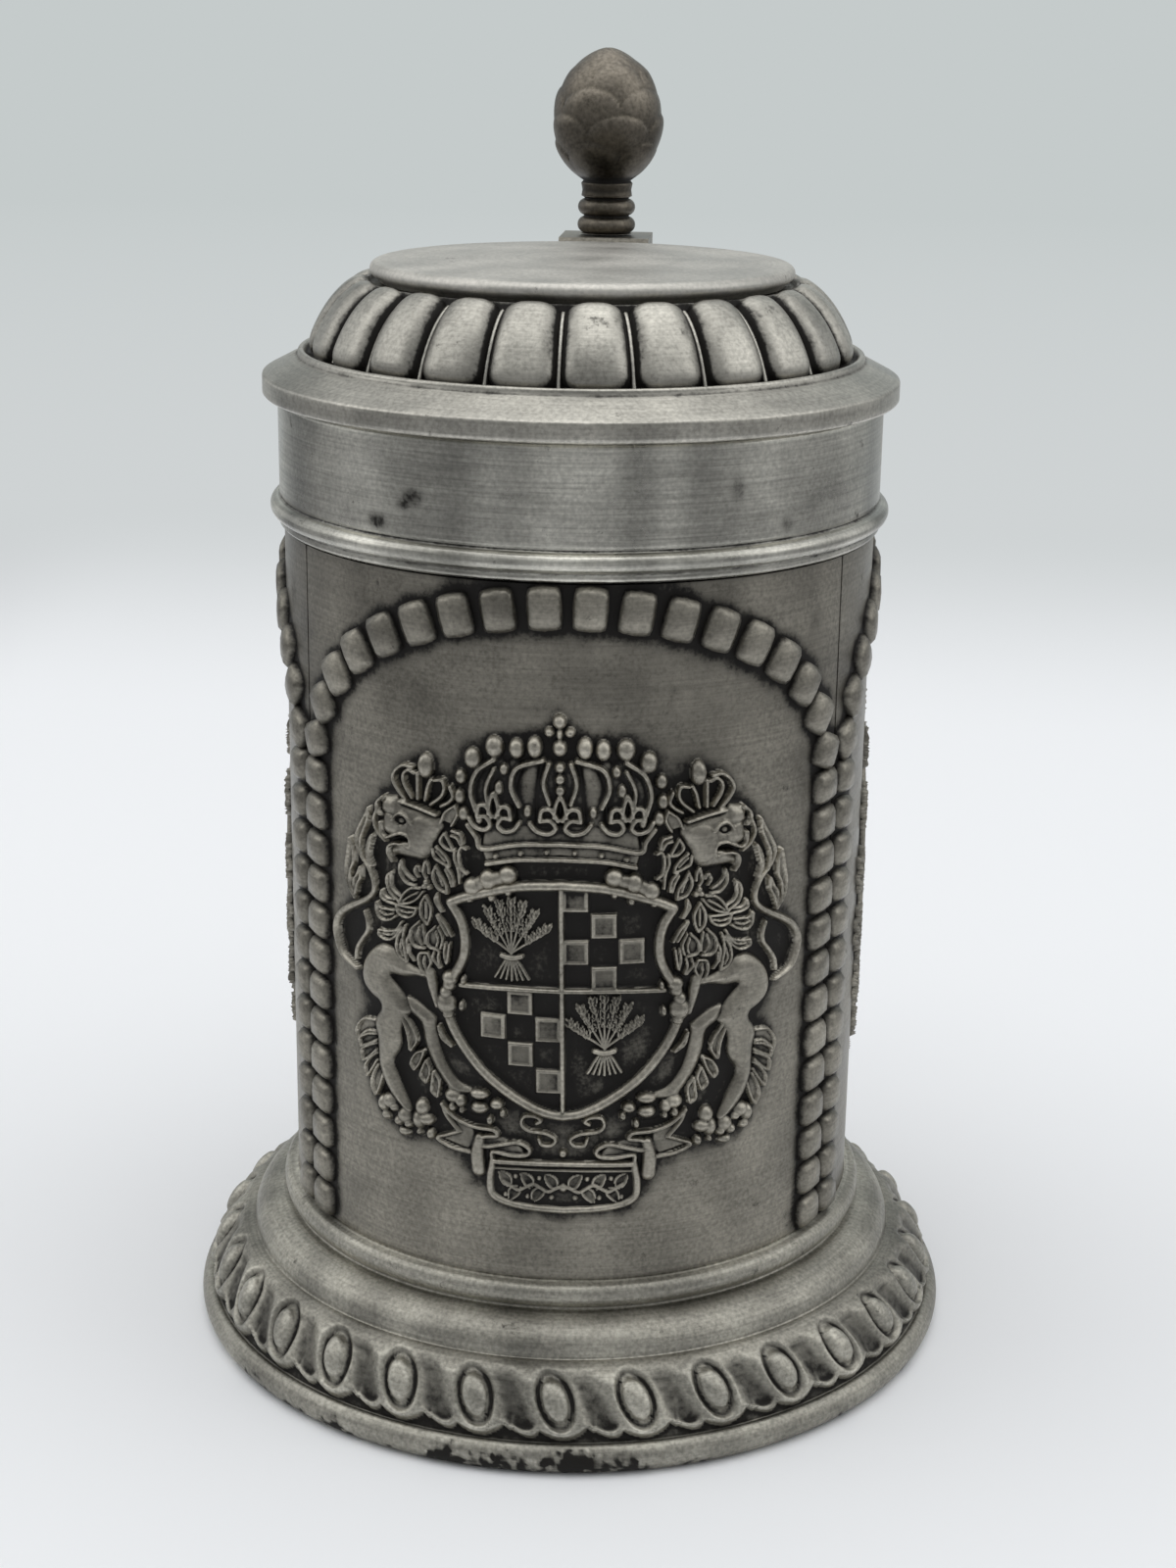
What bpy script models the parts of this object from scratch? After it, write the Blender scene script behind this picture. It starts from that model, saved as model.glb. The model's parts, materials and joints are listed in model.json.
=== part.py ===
"""Lidded pewter stein, in metres with +Z up.

The drum's axis is Z and the table is z = 0. The front panel faces -Y, the handle and the hinge are at +Y.
Three cast staves stand on a round base plate, inside a flared foot ring and under a turned rim band.
"""

import math

import bmesh
import bpy
from mathutils import Matrix, Vector

MM = 0.001

# Clearances
SOLDER_GAP = 0.3 * MM
HINGE_PLAY = 0.5 * MM
COLLAR_PLAY = 1.0 * MM

# Drum
BORE_RADIUS = 39.2 * MM
STAVE_WALL = 2.2 * MM
BODY_HEIGHT = 137.2 * MM
STAVE_COUNT = 3
STAVE_TURN = math.radians(2.5)

# Base plate
BASE_RECESS = 1.0 * MM
BASE_THICKNESS = 3.0 * MM

# Rim band
RIM_BAND_HEIGHT = 17.6 * MM
RIM_BAND_STEP = 0.6 * MM
RIM_CHAMFER = 0.5 * MM
BEAD_HEIGHT = 3.4 * MM
BEAD_PROUD = 1.3 * MM
FILLET_HEIGHT = 0.5 * MM

# Arch and columns of cast blocks on each stave
ARCH_BLOCKS = 18
COLUMN_BLOCKS = 13
ARCH_RISE = 26.0 * MM
ARCH_DROP = 3.0 * MM
BLOCK_WIDTH = 5.0 * MM
BLOCK_SPACE = 0.7 * MM
ARCH_BLOCK_HEIGHT = 5.6 * MM
BLOCK_RELIEF = 1.1 * MM
BLOCK_ROOT = 0.4 * MM
BLOCK_BEVEL = 0.9 * MM
COLUMN_SLANT = 0.22
SEAM_MARGIN = 0.7 * MM

# Figures on the front stave, from a plan in mm: across from its middle line, and up from its lower edge
PLAN_HEIGHT = 92.0 * MM
PLAN_HALF_WIDTH = 37.5 * MM
PLAN_LEAN = 0.017
PLAN_PIVOT = 0.4
FIGURE_RISE = 1.1 * MM
SHIELD_RISE = 0.6 * MM
FIGURE_DRAFT = 0.4 * MM
# Upright rungs from the middle out: place across, lower end, upper end
CROWN = ((0, 60.9, 80.7), (5, 60.5, 77.5), (10, 59.9, 77.3), (13.6, 65.7, 72.5))
SHIELD = ((0, 24.5, 58.3), (6, 26.8, 57.5), (11, 30.9, 56.1), (14.8, 37.1, 54.1))
RIBBON = ((0, 10.3, 19.9), (9.6, 11.7, 19.9), (12.2, 17.5, 22.1), (17, 19.5, 23.7))
LION_BUST = ((15.4, 56, 67), (16.2, 46, 71), (18.5, 45, 74.5), (22, 45.9, 72.7), (26.6, 50, 65.5))
# Level rungs from the top down: height, inner end, outer end
LION_NEAR_LEG = ((44.4, 18.5, 27.5), (41, 21, 29.8), (36, 21.5, 28.6), (31.5, 23, 31), (19.7, 18.4, 26.8))
LION_FAR_LEG = ((38.5, 19.2, 20.8), (34.5, 16.6, 20.8), (28, 11, 19.4), (24.7, 9.6, 16))
LION_TAIL = ((41.1, 30.6, 32.2), (45.5, 34, 36.2), (52.5, 28, 32.4), (57.5, 27.6, 32.2), (65.5, 27.2, 28.4))

# Hop wreath on each side stave
WREATH_HEIGHT = 65.0 * MM
WREATH_REACH = 23.0 * MM
WREATH_RISE = 29.0 * MM
WREATH_WIDTH = 8.0 * MM
WREATH_FIRST_ANGLE = -84
WREATH_LAST_ANGLE = 62
HOP_WIDTH = 8.4 * MM
HOP_LENGTH = 11.0 * MM
HOP_SPREAD = 5.6 * MM
HOP_SPACE = 1.0 * MM
LEAF_WIDTH = 16.0 * MM

# Foot ring
FOOT_HEIGHT = 21.5 * MM
FOOT_SPREAD = 15.0 * MM
FOOT_WALL = 2.6 * MM
COVE_HEIGHT = 2.2 * MM
OVOLO_REACH = 7.0 * MM
OVOLO_HEIGHT = 2.6 * MM
RIM_REACH = 2.1 * MM
RIM_HEIGHT = 4.4 * MM
EGG_BAND_BULGE = 0.8 * MM
EGG_COUNT = 30
EGG_LENGTH = 8.8 * MM
EGG_WIDTH = 5.6 * MM
TONGUE_WIDTH = 2.8 * MM
EGG_PROUD = 1.2 * MM
TONGUE_PROUD = 0.8 * MM
EGG_LEAN = math.radians(15)
TONGUE_LEAN = math.radians(24)

# Lid
FLANGE_OVERHANG = 2.05 * MM
FLANGE_EDGE = 2.7 * MM
FLANGE_RISE = 2.9 * MM
FLANGE_WIDTH = 6.0 * MM
DOME_HEIGHT = 10.0 * MM
DOME_SHOULDER = 6.2 * MM
DOME_TAPER = 1.4 * MM
DOME_TOP_ANGLE = math.radians(72)
LOBE_COUNT = 24
LOBE_GROOVE = 1.5 * MM
LOBE_FADE = 8
LID_WALL = 1.6 * MM
LID_HOLLOW_TURN = 0.45
COLLAR_DEPTH = 3.0 * MM
LIP_INSET = 0.25 * MM
LIP_WIDTH = 0.7 * MM
DISC_SINK = 0.9 * MM
DISC_EDGE = 0.8 * MM
DISC_BEVEL = 1.2 * MM
DISC_CROWN = 0.5 * MM

# Hinge
HINGE_WIDTH = 13.7 * MM
KNUCKLE_COUNT = 5
KNUCKLE_RADIUS = 3.8 * MM
PIN_RADIUS = 1.2 * MM
PIN_HEAD_RADIUS = 2.1 * MM
PIN_HEAD_THICKNESS = 0.8 * MM
PIN_HEAD_TAPER = 0.6
HINGE_SETBACK = 2.65 * MM
HINGE_RISE = 7.5 * MM
STRAP_RISE = 9.8 * MM
STRAP_BACK = 1.0 * MM
STRAP_BEVEL = 1.4 * MM

# Thumb lift
THUMB_SETBACK = 5.0 * MM
STEM_RADIUS = 4.1 * MM
STEM_RING_PROUD = 0.6 * MM
STEM_RING_COUNT = 3
STEM_RING_FILL = 0.76
STEM_HEIGHT = 7.8 * MM
CONE_HEIGHT = 19.7 * MM
CONE_RADIUS = 7.9 * MM
CONE_FULLEST = 0.44
CONE_NECK = 0.3
CONE_TIP = 0.15
CONE_ROUNDNESS = 0.7
SCALE_COLUMNS = 7
SCALE_ROWS = 7
SCALE_PROUD = 0.7 * MM
SCALE_TIP = 0.45

# Handle
HANDLE_REACH = 48.0 * MM
HANDLE_TOP_DROP = 9.8 * MM
HANDLE_FOOT_HEIGHT = 44.0 * MM
HANDLE_BULGE_LIFT = 5.0 * MM
HANDLE_ROOT_WIDTH = 16.0 * MM
HANDLE_TAIL_WIDTH = 10.0 * MM
HANDLE_ROOT_THICKNESS = 8.0 * MM
HANDLE_TAIL_THICKNESS = 5.6 * MM
HANDLE_SEAT_DEPTH = 0.8 * MM
HANDLE_SQUARENESS = 2.6

# Facets
ROUND_STEPS = 48
BEAD_STEPS = 4
BAND_STEPS = 2
COVE_STEPS = 2
DOME_STEPS = 4
LOBE_STEPS = 4
ARCH_SAMPLES = 720
EGG_STEPS = 7
TONGUE_STEPS = 5
HANDLE_STEPS = 22
SECTION_STEPS = 12
KNUCKLE_STEPS = 10
PIN_STEPS = 14
WREATH_STEPS = 5
OVAL_STEPS = 3
OVAL_END = 20

# Finishes: a linear grey and a roughness for each kind of casting
RELIEF_FINISH = ((0.30, 0.29, 0.27), 0.42)
TURNED_FINISH = ((0.42, 0.41, 0.39), 0.34)
FOOT_FINISH = ((0.33, 0.32, 0.30), 0.40)
HANDLE_FINISH = ((0.36, 0.35, 0.33), 0.38)
LID_FINISH = ((0.38, 0.37, 0.35), 0.36)
PIN_FINISH = ((0.40, 0.39, 0.38), 0.32)
THUMB_FINISH = ((0.24, 0.22, 0.19), 0.46)
SHARP_ANGLE = math.radians(35)

# Sizes that follow from those above
FRONT_ANGLE = STAVE_TURN - math.pi / 2
DRUM_RADIUS = BORE_RADIUS + STAVE_WALL
RIM_RADIUS = DRUM_RADIUS + RIM_BAND_STEP
BEAD_RADIUS = RIM_RADIUS + BEAD_PROUD
RIM_BAND_BOTTOM = BODY_HEIGHT - RIM_BAND_HEIGHT
STAVE_TOP = RIM_BAND_BOTTOM - SOLDER_GAP
BASE_TOP = BASE_RECESS + BASE_THICKNESS
STAVE_BOTTOM = BASE_TOP + SOLDER_GAP
FOOT_BORE = DRUM_RADIUS + SOLDER_GAP
FOOT_RADIUS = DRUM_RADIUS + FOOT_SPREAD
RELIEF_RADIUS = DRUM_RADIUS + BLOCK_RELIEF
COLUMN_OFFSET = DRUM_RADIUS * math.pi / STAVE_COUNT - SEAM_MARGIN - BLOCK_WIDTH / 2
SPRINGING = STAVE_TOP - ARCH_DROP - ARCH_RISE
ARCH_UNDERSIDE = STAVE_TOP - ARCH_DROP - ARCH_BLOCK_HEIGHT / 2
PLAN_STRETCH = (ARCH_UNDERSIDE - FOOT_HEIGHT) / PLAN_HEIGHT
PLAN_SPREAD = (COLUMN_OFFSET - BLOCK_WIDTH / 2) / PLAN_HALF_WIDTH
LID_BOTTOM = BODY_HEIGHT + SOLDER_GAP
FLANGE_RADIUS = RIM_RADIUS + FLANGE_OVERHANG
DOME_RADIUS = FLANGE_RADIUS - FLANGE_WIDTH
DOME_BOTTOM = LID_BOTTOM + FLANGE_EDGE + FLANGE_RISE
DOME_TOP = DOME_BOTTOM + DOME_HEIGHT
DISC_RADIUS = DOME_RADIUS - DOME_SHOULDER - DOME_TAPER - LIP_INSET
DISC_SEAT = DOME_TOP - DISC_SINK
HINGE_Y = FLANGE_RADIUS + HINGE_SETBACK + KNUCKLE_RADIUS
HINGE_Z = LID_BOTTOM + HINGE_RISE
STRAP_TOP = HINGE_Z + STRAP_RISE
KNUCKLE_WIDTH = (HINGE_WIDTH - (KNUCKLE_COUNT - 1) * SOLDER_GAP) / KNUCKLE_COUNT
KNUCKLE_PITCH = KNUCKLE_WIDTH + SOLDER_GAP
PIN_BORE = PIN_RADIUS + SOLDER_GAP
HANDLE_TOP = BODY_HEIGHT - HANDLE_TOP_DROP
HANDLE_SEAT = HANDLE_TOP + HANDLE_ROOT_THICKNESS / 2 - HANDLE_SEAT_DEPTH


def clear_scene():
    """Removes whatever the open scene holds."""
    for item in list(bpy.data.objects):
        bpy.data.objects.remove(item, do_unlink=True)


def pewter(name, shade, roughness):
    """A cast metal finish: its grey is a linear colour."""
    material = bpy.data.materials.new(name)
    material.use_nodes = True
    shader = material.node_tree.nodes["Principled BSDF"]
    shader.inputs["Base Color"].default_value = (*shade, 1.0)
    shader.inputs["Metallic"].default_value = 1.0
    shader.inputs["Roughness"].default_value = roughness
    return material


def to_object(name, builder):
    """Turns a finished bmesh into an object, with every face pointing out."""
    bmesh.ops.recalc_face_normals(builder, faces=builder.faces)
    mesh = bpy.data.meshes.new(name)
    builder.to_mesh(mesh)
    builder.free()
    item = bpy.data.objects.new(name, mesh)
    bpy.context.collection.objects.link(item)
    return item


def finish(item, metal):
    """Gives a piece its metal and smooth shading with crisp edges."""
    shade, roughness = metal
    item.data.materials.append(pewter(item.name, shade, roughness))
    item.data.shade_smooth()
    item.data.set_sharp_from_angle(angle=SHARP_ANGLE)
    return item


def span(ring, step, count):
    """The points of a ring that lie in one of count equal steps, with both its ends."""
    share = len(ring) // count
    return [ring[(step * share + index) % len(ring)] for index in range(share + 1)]


def add_skin(builder, rings, joined=False):
    """One closed body through closed rings. A ring may have a whole multiple of its neighbour's points."""
    loops = [[builder.verts.new(point) for point in ring] for ring in rings]
    pairs = list(zip(loops, loops[1:]))
    if joined:
        pairs.append((loops[-1], loops[0]))
    else:
        builder.faces.new(loops[0])
        builder.faces.new(loops[-1])
    for upper, lower in pairs:
        count = min(len(upper), len(lower))
        for step in range(count):
            builder.faces.new(span(upper, step, count) + span(lower, step, count)[::-1])


def skin(name, rings, joined=False):
    """An object with one closed body through closed rings."""
    builder = bmesh.new()
    add_skin(builder, rings, joined)
    return to_object(name, builder)


def circle(radius, height, steps=ROUND_STEPS):
    """A level ring about the drum's axis."""
    turns = [math.tau * step / steps for step in range(steps)]
    return [Vector((radius * math.cos(turn), radius * math.sin(turn), height)) for turn in turns]


def turned(name, outline, joined=True, steps=ROUND_STEPS):
    """Turns (radius, height) points about Z: a ring when joined, a solid with flat ends otherwise."""
    return skin(name, [circle(radius, height, steps) for radius, height in outline], joined)


def arc(centre, reach, rise, start, end, steps):
    """Points of an elliptical arc in a profile plane, from the start to the end angle in degrees."""
    angles = [math.radians(start + (end - start) * step / steps) for step in range(steps + 1)]
    return [(centre[0] + reach * math.cos(angle), centre[1] + rise * math.sin(angle)) for angle in angles]


def extruded(name, outline, left, right):
    """Draws a (y, z) outline out along X."""
    return skin(name, [[Vector((x, y, z)) for y, z in outline] for x in (left, right)])


def combine(item, tool, operation):
    """Joins a helper shape to a piece, or cuts it out, with a live Boolean."""
    tool.hide_render = True
    tool.display_type = "WIRE"
    modifier = item.modifiers.new(tool.name, "BOOLEAN")
    modifier.operation = operation
    modifier.object = tool
    return item


def drum_place(angle, height, tilt=0.0):
    """A frame on the drum's face: x along the wall, y up, z out of the wall."""
    face_out = Matrix(((0, 0, 1, 0), (1, 0, 0, 0), (0, 1, 0, 0), (0, 0, 0, 1)))
    spin = Matrix.Rotation(angle, 4, "Z")
    return spin @ Matrix.Translation((DRUM_RADIUS, 0, height)) @ face_out @ Matrix.Rotation(tilt, 4, "Z")


def add_block(builder, place, widths, height, slant=0.0):
    """One pillow-like block: a full-size foot sunk in the wall under a smaller raised face.

    Its width goes from the first to the second of widths, bottom to top.
    """
    loops = []
    for inset, level in ((0.0, -BLOCK_ROOT), (BLOCK_BEVEL, BLOCK_RELIEF)):
        low, high = (width / 2 - inset for width in widths)
        y = height / 2 - inset
        corners = ((-low, -y), (low, -y), (high, y), (-high, y))
        loops.append([builder.verts.new(place @ Vector((u, v + slant * u, level))) for u, v in corners])
    foot, face = loops
    builder.faces.new(foot)
    builder.faces.new(face)
    for step in range(len(foot)):
        builder.faces.new(span(foot, step, len(foot)) + span(face, step, len(face))[::-1])


def arch_places(half_span, springing):
    """Evenly spaced (offset along the wall, height, tilt, bend) stations on the half-ellipse of the arch.

    The bend is the curve's own radius there, by which the blocks fan out like voussoirs.
    """
    angles = [math.pi * (1 - step / ARCH_SAMPLES) for step in range(ARCH_SAMPLES + 1)]
    curve = [Vector((half_span * math.cos(a), ARCH_RISE * math.sin(a))) for a in angles]
    lengths = [0.0]
    for first, second in zip(curve, curve[1:]):
        lengths.append(lengths[-1] + (second - first).length)
    pitch = lengths[-1] / ARCH_BLOCKS
    places = []
    for block in range(ARCH_BLOCKS):
        target = (block + 0.5) * pitch
        index = next(i for i, length in enumerate(lengths) if length >= target)
        across, up = math.cos(angles[index]), math.sin(angles[index])
        tilt = math.atan2(-across / half_span, up / ARCH_RISE)
        bend = math.hypot(half_span * up, ARCH_RISE * across) ** 3 / (half_span * ARCH_RISE)
        places.append((curve[index].x, springing + curve[index].y, tilt, bend))
    return places, pitch


def add_figure(builder, centre, rungs, rise):
    """A raised figure with sloping sides, along a ladder of rungs whose ends are (across, height)."""
    rings = []
    for ends in rungs:
        ring = []
        for level, inset in ((-BLOCK_ROOT, 0.0), (rise, FIGURE_DRAFT)):
            for first, second in (ends, ends[::-1]):
                end = Vector(first) + (Vector(second) - Vector(first)).normalized() * inset
                ring.append(drum_place(centre + end.x / DRUM_RADIUS, end.y) @ Vector((0, 0, level)))
        rings.append([ring[0], ring[1], ring[3], ring[2]])
    add_skin(builder, rings)


def on_plan(across, height):
    """The place on the wall of a place on the plan, which leans and is fitted to foot, columns and arch."""
    lean = PLAN_LEAN * (height * MM - PLAN_PIVOT * PLAN_HEIGHT)
    return (across * MM - lean) * PLAN_SPREAD, FOOT_HEIGHT + height * MM * PLAN_STRETCH


def add_front_figures(builder, centre):
    """A crowned shield between two lions, over a ribbon."""
    for plan, rise in ((CROWN, FIGURE_RISE), (SHIELD, SHIELD_RISE), (RIBBON, FIGURE_RISE)):
        whole = [(-across, low, high) for across, low, high in plan[:0:-1]] + list(plan)
        rungs = [(on_plan(across, low), on_plan(across, high)) for across, low, high in whole]
        add_figure(builder, centre, rungs, rise)
    for side in (-1, 1):
        bust = [(on_plan(side * u, low), on_plan(side * u, high)) for u, low, high in LION_BUST]
        add_figure(builder, centre, bust, FIGURE_RISE)
        for plan in (LION_NEAR_LEG, LION_FAR_LEG, LION_TAIL):
            limb = [(on_plan(side * inner, z), on_plan(side * outer, z)) for z, inner, outer in plan]
            add_figure(builder, centre, limb, FIGURE_RISE)


def oval(across, height, width, length):
    """Rungs of an oval with blunt ends."""
    turns = arc((across, height), width / 2, length / 2, 180 - OVAL_END, OVAL_END, OVAL_STEPS)
    return [((u, 2 * height - z), (u, z)) for u, z in turns]


def add_side_figures(builder, centre):
    """A wreath of hop vine round three hop cones and a leaf."""
    for side in (-1, 1):
        rails = []
        for half in (-WREATH_WIDTH / 2, WREATH_WIDTH / 2):
            reach, rise = WREATH_REACH + half, WREATH_RISE + half
            rail = arc((0, WREATH_HEIGHT), reach, rise, WREATH_FIRST_ANGLE, WREATH_LAST_ANGLE, WREATH_STEPS)
            rails.append([(side * u, z) for u, z in rail])
        rungs = list(zip(*rails))
        add_figure(builder, centre, rungs, FIGURE_RISE)
        hop = oval(side * HOP_SPREAD, WREATH_HEIGHT, HOP_WIDTH, HOP_LENGTH)
        add_figure(builder, centre, hop, FIGURE_RISE)
    for height, width in ((WREATH_HEIGHT - HOP_LENGTH, HOP_WIDTH), (WREATH_HEIGHT + HOP_LENGTH, LEAF_WIDTH)):
        add_figure(builder, centre, oval(0.0, height, width, HOP_LENGTH - HOP_SPACE), FIGURE_RISE)


def make_stave(name, centre, add_figures):
    """A cast third of the drum's wall, with figures under its arch on two columns of slanted blocks."""
    half_angle = math.pi / STAVE_COUNT - SOLDER_GAP / 2 / BORE_RADIUS
    steps = ROUND_STEPS // STAVE_COUNT
    section = ((BORE_RADIUS, STAVE_BOTTOM), (BORE_RADIUS, STAVE_TOP),
               (DRUM_RADIUS, STAVE_TOP), (DRUM_RADIUS, STAVE_BOTTOM))
    rings = []
    for step in range(steps + 1):
        angle = centre + half_angle * (2 * step / steps - 1)
        rings.append([Vector((r * math.cos(angle), r * math.sin(angle), z)) for r, z in section])
    stave = skin(name, rings)

    builder = bmesh.new()
    places, pitch = arch_places(COLUMN_OFFSET, SPRINGING)
    for offset, height, tilt, bend in places:
        place = drum_place(centre + offset / DRUM_RADIUS, height, tilt)
        fan = [pitch * (1 + edge * ARCH_BLOCK_HEIGHT / 2 / bend) - BLOCK_SPACE for edge in (-1, 1)]
        add_block(builder, place, fan, ARCH_BLOCK_HEIGHT)
    column_top = SPRINGING - BLOCK_SPACE
    column_pitch = (column_top - FOOT_HEIGHT - SOLDER_GAP) / COLUMN_BLOCKS
    square = (BLOCK_WIDTH, BLOCK_WIDTH)
    for side in (-1, 1):
        for block in range(COLUMN_BLOCKS):
            height = column_top - (block + 0.5) * column_pitch
            place = drum_place(centre + side * COLUMN_OFFSET / DRUM_RADIUS, height)
            add_block(builder, place, square, column_pitch - BLOCK_SPACE, side * COLUMN_SLANT)
    add_figures(builder, centre)
    return combine(stave, to_object(name + "_blocks", builder), "UNION")


def make_base_plate():
    """The round floor that closes the drum, a little above the table."""
    return turned("base_plate", [(DRUM_RADIUS, BASE_TOP), (DRUM_RADIUS, BASE_RECESS)], joined=False)


def make_rim_band():
    """The plain turned band round the mouth, with a bead at its lower edge."""
    bead = (RIM_RADIUS, RIM_BAND_BOTTOM + FILLET_HEIGHT + BEAD_HEIGHT / 2)
    outline = [(BORE_RADIUS, BODY_HEIGHT), (RIM_RADIUS - RIM_CHAMFER, BODY_HEIGHT)]
    outline.append((RIM_RADIUS, BODY_HEIGHT - RIM_CHAMFER))
    outline += arc(bead, BEAD_PROUD, BEAD_HEIGHT / 2, 90, -90, BEAD_STEPS)
    outline += [(DRUM_RADIUS, RIM_BAND_BOTTOM), (BORE_RADIUS, RIM_BAND_BOTTOM)]
    return turned("rim_band", outline)


def egg_band_line():
    """The top and bottom corners of the foot's ornament band, and its outward direction."""
    cove_bottom = FOOT_HEIGHT - BEAD_HEIGHT - COVE_HEIGHT
    top = Vector((DRUM_RADIUS + OVOLO_REACH, cove_bottom - OVOLO_HEIGHT))
    bottom = Vector((FOOT_RADIUS - RIM_REACH, RIM_HEIGHT))
    run = (bottom - top).normalized()
    return top, bottom, Vector((-run.y, run.x))


def add_boss(builder, angle, width, proud, lean, steps):
    """One half-sunk oval on the ornament band, leaning to one side."""
    top, bottom, out = egg_band_line()
    middle = (top + bottom) / 2 + out * EGG_BAND_BULGE
    run = (bottom - top).normalized()
    axes = Matrix(((0, run.x, out.x, middle.x), (-1, 0, 0, 0), (0, run.y, out.y, middle.y), (0, 0, 0, 1)))
    size = Matrix.Diagonal((width / 2, EGG_LENGTH / 2, proud, 1))
    place = Matrix.Rotation(angle, 4, "Z") @ axes @ Matrix.Rotation(lean, 4, "Z") @ size
    bmesh.ops.create_uvsphere(builder, u_segments=steps, v_segments=4, radius=1.0, matrix=place)


def make_foot_ring():
    """The flared foot: bead, cove and ovolo over a band of leaning eggs, on a round rim. Hollow below."""
    top, bottom, out = egg_band_line()
    neck = DRUM_RADIUS + SOLDER_GAP + FILLET_HEIGHT
    bead_low = FOOT_HEIGHT - BEAD_HEIGHT
    cove_low = bead_low - COVE_HEIGHT
    outline = [(FOOT_BORE, FOOT_HEIGHT)]
    outline += arc((neck, bead_low + BEAD_HEIGHT / 2), BEAD_PROUD, BEAD_HEIGHT / 2, 90, -90, BEAD_STEPS)
    cove = COVE_HEIGHT / 2
    outline += arc((neck + cove, bead_low - cove), cove, cove, 180, 270, COVE_STEPS)
    ovolo = neck + COVE_HEIGHT
    outline += arc((ovolo, top.y), top.x - ovolo, cove_low - top.y, 90, 0, COVE_STEPS)[1:]
    for step in range(1, BAND_STEPS):
        share = step / BAND_STEPS
        outline.append(tuple(top.lerp(bottom, share) + out * EGG_BAND_BULGE * 4 * share * (1 - share)))
    outline.append(tuple(bottom))
    outline += arc((bottom.x, RIM_HEIGHT / 2), RIM_REACH, RIM_HEIGHT / 2, 60, -90, BEAD_STEPS)
    land = bottom.x - FOOT_WALL
    outline += [(land, 0.0), (land - out.x * FOOT_WALL / 2, RIM_HEIGHT)]
    outline += [(top.x - FOOT_WALL, top.y - FOOT_WALL), (FOOT_BORE, top.y - FOOT_WALL / 2)]
    foot = turned("foot_ring", outline)

    builder = bmesh.new()
    for egg in range(EGG_COUNT):
        angle = FRONT_ANGLE + math.tau * egg / EGG_COUNT
        add_boss(builder, angle, EGG_WIDTH, EGG_PROUD, EGG_LEAN, EGG_STEPS)
        between = angle + math.pi / EGG_COUNT
        add_boss(builder, between, TONGUE_WIDTH, TONGUE_PROUD, TONGUE_LEAN, TONGUE_STEPS)
    return combine(foot, to_object("foot_ring_eggs", builder), "UNION")


def dome_crest(share):
    """Radius of the lobes' crests at a share of the dome's height."""
    shoulder = DOME_SHOULDER * math.sqrt(1 - share * share)
    return DOME_RADIUS - DOME_SHOULDER - DOME_TAPER * share + shoulder


def lobed_ring(share, groove):
    """A level ring through the dome's lobes: round backs that meet in sharp grooves."""
    steps = LOBE_COUNT * LOBE_STEPS
    height = DOME_BOTTOM + share * DOME_HEIGHT
    points = []
    for step in range(steps):
        across = 2 * (step % LOBE_STEPS) / LOBE_STEPS - 1
        radius = dome_crest(share) - groove * (1 - math.sqrt(1 - across * across))
        angle = math.tau * step / steps
        points.append(Vector((radius * math.cos(angle), radius * math.sin(angle), height)))
    return points


def make_lid_shell():
    """The cast lid: flange, gadrooned dome, a lipped seat for the disc and a collar inside the mouth."""
    lip = DISC_RADIUS + SOLDER_GAP
    steps = LOBE_COUNT * LOBE_STEPS // 2
    collar = BORE_RADIUS - COLLAR_PLAY
    inside = LOBE_GROOVE + LID_WALL
    rings = [circle(lip, DISC_SEAT, steps), circle(lip, DOME_TOP, steps)]
    rings.append(circle(lip + LIP_WIDTH, DOME_TOP, steps))
    for step in range(DOME_STEPS + 1):
        share = math.sin(DOME_TOP_ANGLE * (1 - step / DOME_STEPS))
        rings.append(lobed_ring(share, LOBE_GROOVE * (1 - share ** LOBE_FADE)))
    outline = [(DOME_RADIUS + FILLET_HEIGHT, DOME_BOTTOM), (FLANGE_RADIUS, LID_BOTTOM + FLANGE_EDGE)]
    outline += [(FLANGE_RADIUS, LID_BOTTOM), (collar, LID_BOTTOM), (collar, LID_BOTTOM - COLLAR_DEPTH)]
    outline += [(collar - LID_WALL, LID_BOTTOM - COLLAR_DEPTH), (collar - LID_WALL, LID_BOTTOM)]
    for share in (0.0, LID_HOLLOW_TURN):
        outline.append((dome_crest(share) - inside, DOME_BOTTOM + share * DOME_HEIGHT))
    outline.append((DISC_RADIUS - LID_WALL, DISC_SEAT - LID_WALL))
    rings += [circle(radius, height, steps) for radius, height in outline]
    return skin("lid_shell", rings)


def make_lid_disc():
    """The slightly crowned plate let into the top of the dome."""
    bottom = DISC_SEAT + SOLDER_GAP
    edge = bottom + DISC_EDGE
    face = DISC_RADIUS - DISC_BEVEL
    outline = [(face / 2, edge + DISC_BEVEL + DISC_CROWN)]
    outline += arc((face, edge), DISC_BEVEL, DISC_BEVEL, 90, 0, 2)
    outline.append((DISC_RADIUS, bottom))
    return turned("lid_disc", outline, joined=False)


def knuckle_span(index):
    """Where one hinge knuckle starts and ends along X, counted from the left."""
    left = index * KNUCKLE_PITCH - HINGE_WIDTH / 2
    return left, left + KNUCKLE_WIDTH


def tombstone(radius, foot):
    """A (y, z) outline with a round head on the hinge axis and straight sides down to its foot."""
    head = arc((HINGE_Y, HINGE_Z), radius, radius, 180, 0, KNUCKLE_STEPS)
    return head + [(HINGE_Y + radius, foot), (HINGE_Y - radius, foot)]


def hinge_rod(name, radius, reach):
    """A rod along the hinge axis, used for the pin and for the bores that it passes through."""
    return extruded(name, arc((HINGE_Y, HINGE_Z), radius, radius, 0, 360, PIN_STEPS)[:-1], -reach, reach)


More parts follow.
